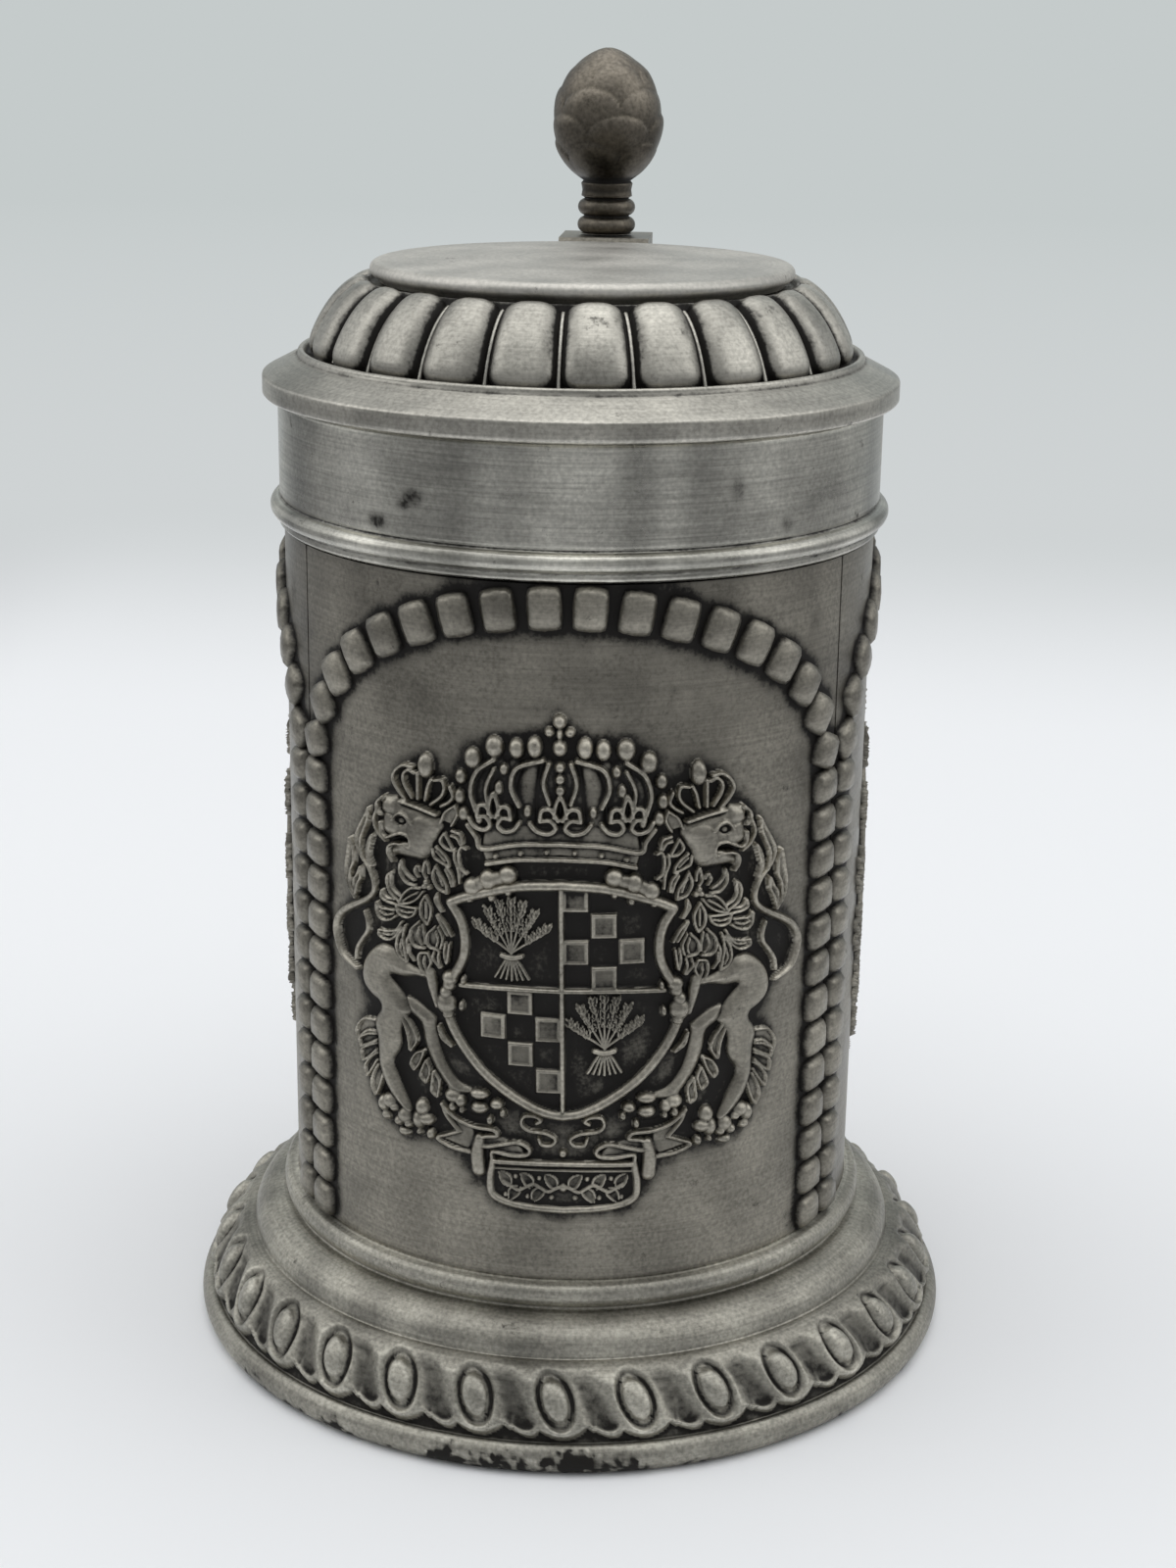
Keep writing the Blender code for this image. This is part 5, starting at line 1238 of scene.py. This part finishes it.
foot = make_piece("egg_band_foot", foot_points, lattice(*foot_points.shape[:2], True, True), foot_pewter)
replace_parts(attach(foot, "mug"), "foot_ring")
print("foot:", 2 * foot_points[..., 0].size, "triangles, highest egg", round(float(rise.max()), 2), "mm")

# %% Tarnish the foot
TARNISH_TOP = 4.0
depths = hollows(foot, foot_points, (True, True), 10)
foot_heights = foot_points[..., 2]
waves = ((1.0, 3, 2.0), (0.8, 7, 1.3), (0.5, 19, 0.0), (0.4, 41, 0.0))
tarnish = sum(strength * np.sin(foot_turns * count + start) for strength, count, start in waves)
reach = np.clip(1.6 + 1.7 * tarnish, 0, 4.4)[None]
# Painted light on the bead and ovolo: they keep only a third of their patina, and are lightened a little more after the
# tarnish.
depths[:len(upper_line)] *= 0.35
depths += np.where(foot_heights < TARNISH_TOP, 0.55 * np.clip((reach - foot_heights) / 2.0, 0, 1), 0)
depths[:len(upper_line)] -= 0.08
pits = soften(np.random.default_rng(7).normal(0, 0.6, depths.shape), 0.7)
depths += np.where((foot_heights < TARNISH_TOP) & (reach > foot_heights), pits, 0.1 * pits)
depths[len(upper_line):len(upper_line) + len(band)] += dark
store_patina_and_shade(foot, depths)
print("share of the foot in patina:", round(float((depths > 0.25).mean()), 2))

# %% [markdown]
# ## The lid
#
# The dome is gadrooned: round lobes stand side by side like the segments of a pumpkin. The same rule
# shapes them all: a crest line for the dome, sunk along its own normal by a depth that grows steeply
# towards each groove. The lattice's columns crowd together there, where the shape turns fastest. A collar
# under the flange drops into the mouth, and a crowned disc closes the dome.

# %% The lobes of the dome
LOBES, LOBE_STEPS = 24, 24
FLANGE, DOME = 44.05, 38.05
DOME_LOW, DOME_TOP = LID_LOW + 5.6, LID_LOW + 16.1
DOME_REACH, DOME_RISE, DOME_LEAN = 6.2, 10.5, 2.8
CORNER, GROOVE = 3.0, 1.9
across = np.sin(np.pi / 2 * np.linspace(-1, 1, LOBE_STEPS, endpoint=False))
lid_angles = (np.arange(LOBES)[:, None] + 0.5 + across / 2).ravel() * math.tau / LOBES - math.pi / 2
climb = np.radians(np.linspace(80, 0, 34))[:, None]
crest = np.concatenate([DOME - DOME_REACH - DOME_LEAN * np.sin(climb) + DOME_REACH * np.cos(climb),
                        DOME_LOW + DOME_RISE * np.sin(climb)], 1)
slope = np.concatenate([DOME_RISE * np.cos(climb), DOME_REACH * np.sin(climb) + DOME_LEAN * np.cos(climb)], 1)
slope /= np.linalg.norm(slope, axis=1)[:, None]
side = np.tile(np.abs(across), LOBES)[None]
run = np.append(0, np.cumsum(np.linalg.norm(np.diff(crest, axis=0), axis=1)))[:, None]
from_side = crest[:, :1] * math.pi / LOBES * (1 - side) - 0.3
from_end = np.minimum(run + 1.5, run[-1] - run + 0.5)
inside = CORNER - np.hypot(np.clip(CORNER - from_side, 0, None), np.clip(CORNER - from_end, 0, None))
sunk = GROOVE * (1 - np.sqrt(1 - (1 - np.clip(inside / CORNER, 0, 1)) ** 2))
dome_points = spin(crest[:, :1] - sunk * slope[:, :1], crest[:, 1:] - sunk * slope[:, 1:], lid_angles)
print("lobes:", LOBES, "each", round(crest[-1, 0] * math.tau / LOBES, 1), "mm wide at its foot")

# %% Form the lid shell
lip_line = trace([(28.3, DOME_TOP - 1.3), (29.2, DOME_TOP - 1.3), (29.3, DOME_TOP - 0.8),
                  (29.75, DOME_TOP - 0.75)], 0.4)
flange_line = [(37.9, DOME_LOW - 0.25), (38.15, DOME_LOW + 0.15),
               *arc((38.65, DOME_LOW + 0.1), 0.45, 0.4, 160, 0, 6), (39.2, DOME_LOW - 0.38),
               (43.75, LID_LOW + 2.85), (43.97, LID_LOW + 2.7), (FLANGE, LID_LOW + 2.45), (FLANGE, LID_LOW + 0.3)]
hidden_line = [(43.8, LID_LOW), (38.2, LID_LOW), (38.2, LID_LOW - 2.7), (37.9, LID_LOW - 3), (36.8, LID_LOW - 3),
               (36.6, LID_LOW - 2.7), (36.6, LID_LOW), (34.95, DOME_LOW), (33.6, DOME_LOW + 4.5),
               (28.6, DOME_LOW + 7.5), (27.6, DOME_LOW + 7.5)]
rest_line = np.concatenate([trace(flange_line, 0.45), trace(hidden_line, 1.5)])
lip_points, rest_points = (spin(line[:, 0], line[:, 1], lid_angles) for line in (lip_line, rest_line))
lid_points = np.concatenate([lip_points, dome_points, rest_points])
lid_shell = make_piece("gadrooned_lid_shell", lid_points, tube(*lid_points.shape[:2]), lid_pewter)
depths = hollows(lid_shell, lid_points, (False, True), 14)
# Painted shade on the lip, under the disc's edge.
depths[:len(lip_points)] = 0.22
# Patina in the grooves, and painted shade that spreads up the sides of each lobe.
depths[len(lip_points):-len(rest_points)] = (
    0.42 * (1 - np.clip(inside / 0.7, 0, 1)) + 0.2 * (1 - np.clip(inside / 2.8, 0, 1)) + 0.02)
# Painted shade on the flange's upright outer side.
depths += 0.1 * (np.hypot(lid_points[..., 0], lid_points[..., 1]) > FLANGE - 0.06)
store_patina_and_shade(lid_shell, depths)
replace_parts(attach(lid_shell, "lid"), "lid_shell")
print("lid shell:", len(lid_shell.data.polygons), "faces")

# %% Turn the lid's disc
disc_outline = [(0.4, DOME_TOP + 2.2), (15, DOME_TOP + 2.1), (27.5, DOME_TOP + 1.75),
                *arc((27.9, DOME_TOP + 0.65), 1.25, 1.1, 80, -70, 14), (27.9, DOME_TOP - 0.6),
                (27.8, DOME_TOP - 1.0), (0.4, DOME_TOP - 1.0)]
lid_disc = turned("turned_lid_disc", disc_outline, disc_pewter, False, spacing=0.6)
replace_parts(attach(lid_disc, "lid"), "lid_disc")

# %% [markdown]
# ## Ribs in the grooves
#
# A thin bright rib runs down each groove of the dome. One rib is a path and a round section, and the
# node tree sets it 24 times round the axis, so that the count and the section stay two plain inputs.


# %% Grow the ribs
def make_rib_tree():
    """Sweeps a round section along a path, and sets the rib a number of times round Z."""
    tree, inside = new_tree("ribs_round_axis", {
        "Path": "Geometry", "Count": "Int", "Section radius": "Float", "First angle": "Float",
        "Finish": "Material"}, "Ribs")
    path = add_node(tree, "GeometryNodeMeshToCurve", {"Mesh": inside["Path"]}).outputs[0]
    section = add_node(tree, "GeometryNodeCurvePrimitiveCircle", {
        "Resolution": 6, "Radius": inside["Section radius"]}).outputs[0]
    rib = add_node(tree, "GeometryNodeCurveToMesh", {
        "Curve": path, "Profile Curve": section, "Fill Caps": True}).outputs[0]
    points = add_node(tree, "GeometryNodePoints", {"Count": inside["Count"]}).outputs[0]
    step = add_node(tree, "ShaderNodeMath", {0: math.tau, 1: inside["Count"]}, operation="DIVIDE").outputs[0]
    index = add_node(tree, "GeometryNodeInputIndex").outputs[0]
    angle = add_node(tree, "ShaderNodeMath", {0: index, 1: step, 2: inside["First angle"]}, operation="MULTIPLY_ADD")
    turn = add_node(tree, "ShaderNodeCombineXYZ", {"Z": angle.outputs[0]}).outputs[0]
    placed = add_node(tree, "GeometryNodeInstanceOnPoints", {"Points": points, "Instance": rib, "Rotation": turn})
    real = add_node(tree, "GeometryNodeRealizeInstances", {0: placed.outputs[0]}).outputs[0]
    done = add_node(tree, "GeometryNodeSetMaterial", {"Geometry": real, "Material": inside["Finish"]}).outputs[0]
    add_node(tree, "NodeGroupOutput", {0: done})
    return tree


rib_path = bpy.data.meshes.new("rib_path")
floor = (crest - 1.65 * slope)[2:-1:3]
links = [(step, step + 1) for step in range(len(floor) - 1)]
rib_path.from_pydata([(r * MM, 0, z * MM) for r, z in floor], links, [])
ribs = grow("lid_ribs", rib_path, make_rib_tree(), {
    "Count": LOBES, "Section radius": 0.34 * MM, "First angle": -math.pi / 2, "Finish": lid_pewter})
store_patina_and_shade(ribs, np.full(len(ribs.data.vertices), -0.12))
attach(ribs, "lid")

# %% [markdown]
# ## The thumb lift
#
# A pine cone on a ringed stem stands on the strap, where a thumb presses to open the lid. Its broad scales
# overlap like tiles, tips upwards. For each point the highest of the scales that cover it is taken.

# %% Scales of the cone
LIFT_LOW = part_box("thumb_lift")[0].z / MM
LIFT_Y = HINGE[1] - 5.0
CONE_LOW, CONE_HIGH = LIFT_LOW + 7.8, LIFT_LOW + 27.5
SCALE_COLUMNS, SCALE_ROWS = 5, 5


def scale_rise(angle, share):
    """How far the scales stand out at an angle and a share of the cone's height."""
    rise = np.zeros(np.broadcast(angle, share).shape)
    for row in range(SCALE_ROWS):
        along = np.clip((share - (row / SCALE_ROWS - 0.06)) / 0.38, 0, 1)
        beside = (angle * SCALE_COLUMNS / math.tau + 0.5 * (row % 2)) % 1 - 0.5
        half = 0.6 * np.sqrt(np.clip(1 - along ** 2.4, 1e-6, 1))
        spread = np.abs(beside) / half
        scale = (0.15 + 0.75 * along) * (1 - 0.35 * spread ** 2) * (1 - along ** 8) ** 0.5
        rise = np.maximum(rise, np.where((along > 0) & (along < 1) & (spread < 1), scale, 0))
    return rise


print("scales:", SCALE_ROWS, "rows of", SCALE_COLUMNS)

# %% Form the thumb lift
CONE, CONE_WAIST = 7.8, 0.44
lift_angles = np.arange(140) * math.tau / 140
cone_share = 1 - np.linspace(0.97, 0.012, 90) ** 1.3
low_end = np.where(cone_share < CONE_WAIST, 0.3, 0.0)
reach = (cone_share - CONE_WAIST) / np.where(cone_share < CONE_WAIST, CONE_WAIST, 1 - CONE_WAIST)
cone_radii = CONE * (low_end + (1 - low_end) * (1 - reach ** 2) ** 0.6)
cone_heights = CONE_LOW + cone_share * (CONE_HIGH - CONE_LOW)
scales = scale_rise(lift_angles[None], cone_share[:, None]) * np.clip((1 - cone_share) * 6, 0.05, 1.05)[:, None]
stem_line = [(0.3, LIFT_LOW), (4.0, LIFT_LOW), *arc((3.2, LIFT_LOW + 1.3), 1.25, 1.25, -80, 80, 10),
             (3.5, LIFT_LOW + 2.65), *arc((3.2, LIFT_LOW + 3.95), 1.2, 1.25, -80, 80, 10), (3.4, LIFT_LOW + 5.35),
             (3.9, LIFT_LOW + 5.6), (3.75, LIFT_LOW + 6.5), (3.95, LIFT_LOW + 7.5), (3.6, LIFT_LOW + 7.9)]
stem_line = trace(stem_line, 0.3)
lift_points = np.concatenate([spin(stem_line[:, 0], stem_line[:, 1], lift_angles),
                              spin(cone_radii[:, None] + scales, cone_heights, lift_angles)]) + (0, LIFT_Y, 0)
thumb_lift = make_piece("pine_cone_thumb_lift", lift_points, tube(*lift_points.shape[:2]), thumb_pewter)
# Painted light on the top of the cone, and painted shade lower down.
painted_light_by_height = np.interp(lift_points[..., 2], (CONE_LOW, CONE_HIGH - 5), (0.14, -0.16))
store_patina_and_shade(thumb_lift, 1.5 * hollows(thumb_lift, lift_points, (False, True), 12) + painted_light_by_height)
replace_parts(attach(thumb_lift, "lid"), "thumb_lift")
print("thumb lift:", len(thumb_lift.data.polygons), "faces, top", round(float(lift_points[..., 2].max()), 1))

# %% [markdown]
# ## The handle
#
# The handle is a cast C: one section swept along an ear-shaped curve, slimmer towards its tail. Its flat
# seat under the hinge comes from holding the top of the root down to the seat's level, and a shallow flute
# runs along its back.

# %% Sweep the handle
HANDLE_LOW, HANDLE_REACH, HANDLE_HALF, HANDLE_SWELL = 44, 48, 41.7, 5
SEAT_LEVEL, SEAT_END = 130.6, HINGE[1] + 4.1
SQUARENESS = 2.6
shares = np.linspace(0.012, 0.988, 120)
turns = np.pi * shares
line_y = BORE + HANDLE_REACH * np.sin(turns)
line_z = HANDLE_LOW + HANDLE_HALF * (1 + np.cos(turns)) + HANDLE_SWELL * np.sin(turns) ** 2
along = np.stack([HANDLE_REACH * np.cos(turns), HANDLE_SWELL * np.sin(2 * turns) - HANDLE_HALF * np.sin(turns)], 1)
along /= np.linalg.norm(along, axis=1)[:, None]
section = np.arange(48) * math.tau / 48
wide, thick = (np.sign(wave) * np.abs(wave) ** (2 / SQUARENESS) for wave in (np.cos(section), np.sin(section)))
half_wide, half_thick = (8 - 3 * shares)[:, None], (4 - 1.2 * shares)[:, None]
fluted = half_thick * thick - 0.5 * np.exp(-(half_wide * wide / 2.2) ** 2) * (thick > 0.3)
handle_points = np.stack([half_wide * wide, line_y[:, None] - along[:, 1:] * fluted,
                          line_z[:, None] + along[:, :1] * fluted], -1)
seated = (handle_points[..., 1] < SEAT_END) & (handle_points[..., 2] > SEAT_LEVEL)
handle_points[seated, 2] = SEAT_LEVEL
handle = make_piece("cast_handle", handle_points, tube(len(shares), len(section)), cast_pewter)
store_patina_and_shade(handle, hollows(handle, handle_points, (False, True), 8) * 1.5 - 0.02)
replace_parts(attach(handle, "mug"), "handle")
print("handle:", len(handle.data.polygons), "faces")

# %% [markdown]
# ## The hinge
#
# The hinge's block, strap and pin are right as the CAD model has them, but their edges are dead sharp.
# A copy of each has its triangles merged into flat faces, and a small bevel on every edge catches the light.
# Large faces stay flat. Only the small ones, on bevels and round the pin, are shaded smooth.


# %% Soften the hinge
def softened(node, name, body, finish, width):
    """A piece like a CAD node, with bevels of a width in mm, that stands for the node."""
    mesh = frame["nodes"][node].data.copy()
    builder = bmesh.new()
    builder.from_mesh(mesh)
    bmesh.ops.remove_doubles(builder, verts=builder.verts, dist=0.002 * MM)
    bmesh.ops.dissolve_limit(builder, angle_limit=math.radians(2), verts=builder.verts, edges=builder.edges)
    sharp = [edge for edge in builder.edges if edge.is_manifold and edge.calc_face_angle() > math.radians(35)]
    bmesh.ops.bevel(builder, geom=sharp, offset=width * MM, segments=2, affect="EDGES", clamp_overlap=True)
    bmesh.ops.recalc_face_normals(builder, faces=builder.faces)
    builder.to_mesh(mesh)
    builder.free()
    mesh.name = name
    mesh.materials.clear()
    mesh.materials.append(finish)
    if "custom_normal" in mesh.attributes:
        mesh.attributes.remove(mesh.attributes["custom_normal"])
    mesh.polygons.foreach_set("use_smooth", [face.area < MM * MM for face in mesh.polygons])
    mesh.set_sharp_from_angle(angle=math.radians(40))
    piece = add_object(name, mesh)
    store_patina_and_shade(piece, np.full(len(mesh.vertices), 0.02))
    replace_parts(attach(piece, body), node)
    print(name, len(mesh.polygons), "faces")


softened("hinge_block", "slotted_hinge_block", "mug", cast_pewter, 0.25)
softened("lid_strap", "lid_hinge_strap", "lid", cast_pewter, 0.25)
softened("hinge_pin", "peened_hinge_pin", "mug", turned_pewter, 0.12)

# %% [markdown]
# ## Studio
#
# A pale paper sweep, a soft sky all round and a few large lamps: plain light, in which a colour renders
# about as it is written. Matt paper scatters light evenly and shows no highlight. It is white near the
# stein and greyer where it climbs the wall. Greyer paper to the front and the sides is painted shade.

# %% Paper
paper = bpy.data.materials.new("matt_white_paper")
paper.use_nodes = True
tree = paper.node_tree
shader = tree.nodes["Principled BSDF"]
place = add_node(tree, "ShaderNodeSeparateXYZ", {0: add_node(tree, "ShaderNodeTexCoord").outputs["Object"]}).outputs
aside = add_node(tree, "ShaderNodeMath", {0: place["X"]}, operation="ABSOLUTE").outputs[0]
before = add_node(tree, "ShaderNodeMath", {0: place["Y"], 1: -1.0}, operation="MULTIPLY").outputs[0]
away = add_node(tree, "ShaderNodeMath", {0: aside, 1: before}, operation="MAXIMUM").outputs[0]
aslant = add_node(tree, "ShaderNodeMath", {0: place["Y"], 1: -0.3, 2: aside}, operation="MULTIPLY_ADD").outputs[0]
# Each fade runs between two distances from the stein, in metres.
near, fade, far, painted_side_shade = (
    add_node(tree, "ShaderNodeMapRange", {"Value": source, "From Min": start, "From Max": end, "To Min": low,
                                          "To Max": high}, interpolation_type=kind).outputs["Result"]
    for source, start, end, low, high, kind in (
        (away, 0.18, 0.34, 0.0, 1.0, "SMOOTHSTEP"), (place["Y"], 0.3, 0.6, 0.0, 1.0, "SMOOTHSTEP"),
        (place["Y"], 0.6, 2.0, 0.0, 1.0, "LINEAR"), (aslant, 0.25, 0.8, 1.0, 0.45, "SMOOTHSTEP")))
# The paper turns grey away from the stein, to the front and the sides, and its far glow dims to the sides: both are
# painted shade.
paper_with_painted_shade, haze = (
    add_node(tree, "ShaderNodeMix", {"Factor": share, 6: linear(first), 7: linear(second)},
             data_type="RGBA").outputs[2]
    for share, first, second in ((near, "#f0f1f3", "#a9a9ab"), (far, "#cfd3d4", "#c5cbcb")))
ray = add_node(tree, "ShaderNodeLightPath").outputs
seen = add_node(tree, "ShaderNodeMath", {0: ray["Is Camera Ray"], 1: ray["Is Glossy Ray"]}, operation="ADD").outputs[0]
seen = add_node(tree, "ShaderNodeMath", {0: seen, 1: ray["Is Transmission Ray"]}, operation="ADD", use_clamp=True)
share = add_node(tree, "ShaderNodeMath", {0: seen.outputs[0], 1: fade}, operation="MULTIPLY").outputs[0]
glow = add_node(tree, "ShaderNodeEmission", {"Color": haze, "Strength": painted_side_shade}).outputs[0]
mixed = add_node(tree, "ShaderNodeMixShader", {0: share, 1: shader.outputs[0], 2: glow}).outputs[0]
tree.links.new(mixed, tree.nodes["Material Output"].inputs["Surface"])
tree.links.new(paper_with_painted_shade, shader.inputs["Base Color"])
shader.inputs["Roughness"].default_value = 0.9
shader.inputs["Specular IOR Level"].default_value = 0.1
print("paper:", len(tree.nodes), "nodes")

# %% Paper sweep
sweep_line = [(-3.0, 0.0), (2.4, 0.0), *arc((2.4, 0.6), 0.6, 0.6, -90, 0, 16), (3.0, 2.4)]
sweep_line = trace(sweep_line, 0.1) / MM
sides = np.linspace(-2500, 2500, 40)
sweep_points = np.stack(np.broadcast_arrays(sides[None], sweep_line[:, :1], sweep_line[:, 1:]), -1)
sweep = make_piece("paper_sweep", sweep_points, lattice(len(sweep_line), len(sides), False, False), paper)
sweep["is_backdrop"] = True
print("sweep:", len(sweep.data.polygons), "faces")

# %% Sky
world = bpy.data.worlds.new("studio_sky")
bpy.context.scene.world = world
world.use_nodes = True
tree = world.node_tree
way = add_node(tree, "ShaderNodeSeparateXYZ", {0: add_node(tree, "ShaderNodeTexCoord").outputs["Generated"]}).outputs
ahead = add_node(tree, "ShaderNodeMath", {0: way["Y"], 1: way["Z"]}, operation="ADD").outputs[0]
room = add_node(tree, "ShaderNodeMapRange", {
    "Value": ahead, "From Min": -0.5, "From Max": 0.6, "To Min": 0.45, "To Max": 0.88},
    interpolation_type="SMOOTHSTEP").outputs["Result"]
tree.nodes["Background"].inputs["Color"].default_value = linear("#f1f3f4")
tree.links.new(room, tree.nodes["Background"].inputs["Strength"])
print("sky:", len(tree.nodes), "nodes")


# %% Lamps
def add_lamp(name, place, target, size, power):
    """A round soft lamp, in metres and watts, that faces a target."""
    data = bpy.data.lights.new(name, "AREA")
    data.shape = "DISK"
    data.size = size
    data.energy = power
    lamp = add_object(name, data)
    lamp.location = place
    direction = np.subtract(target, place)
    tip = math.acos(-direction[2] / np.linalg.norm(direction))
    lamp.rotation_euler = (tip, 0, math.atan2(direction[0], -direction[1]) + math.pi)


add_lamp("left_window", (-0.95, -0.1, 0.8), (0, 0, 0.09), 0.9, 1.7)
add_lamp("right_window", (0.95, -0.1, 0.7), (0, 0, 0.09), 0.9, 1.6)
add_lamp("ceiling", (0.0, 0.0, 1.3), (0, 0, 0.0), 1.6, 5.6)

# %% [markdown]
# ## Camera
#
# The photograph looks down on the stein from a little above its lid. The camera stands at the distance
# and height that give the same ellipses and the same vanishing of the sides, turned a few degrees.

# %% Camera
DISTANCE, HEIGHT, AZIMUTH = 0.3532, 0.1907, math.radians(4.5)
PITCH, PAN, ROLL = math.radians(17.38), math.radians(0.28), math.radians(0.797)
SENSOR, FOCAL_PIXELS, IMAGE_PIXELS = 36.0, 2586.2, 1600
lens = bpy.data.cameras.new("camera")
lens.sensor_width = SENSOR
lens.lens = SENSOR * FOCAL_PIXELS / IMAGE_PIXELS
lens.clip_start = 0.01
camera = add_object("camera", lens)
place = Matrix.Translation((DISTANCE * math.sin(AZIMUTH), -DISTANCE * math.cos(AZIMUTH), HEIGHT))
turn = Matrix.Rotation(AZIMUTH - PAN, 4, "Z") @ Matrix.Rotation(math.pi / 2 - PITCH, 4, "X")
camera.matrix_world = place @ turn @ Matrix.Rotation(ROLL, 4, "Z")
bpy.context.scene.camera = camera
bpy.context.scene.view_settings.view_transform = "Standard"
print("camera at", [round(value, 3) for value in camera.location])

# %% [markdown]
# ## Sizes at the end
#
# The size of the dressed stein's box is printed, in mm. The dressed stein has to stay inside the CAD
# model's box.

# %% Finish
low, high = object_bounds()
print("visual box in mm:", [round((top - bottom) / MM, 1) for bottom, top in zip(low, high)])
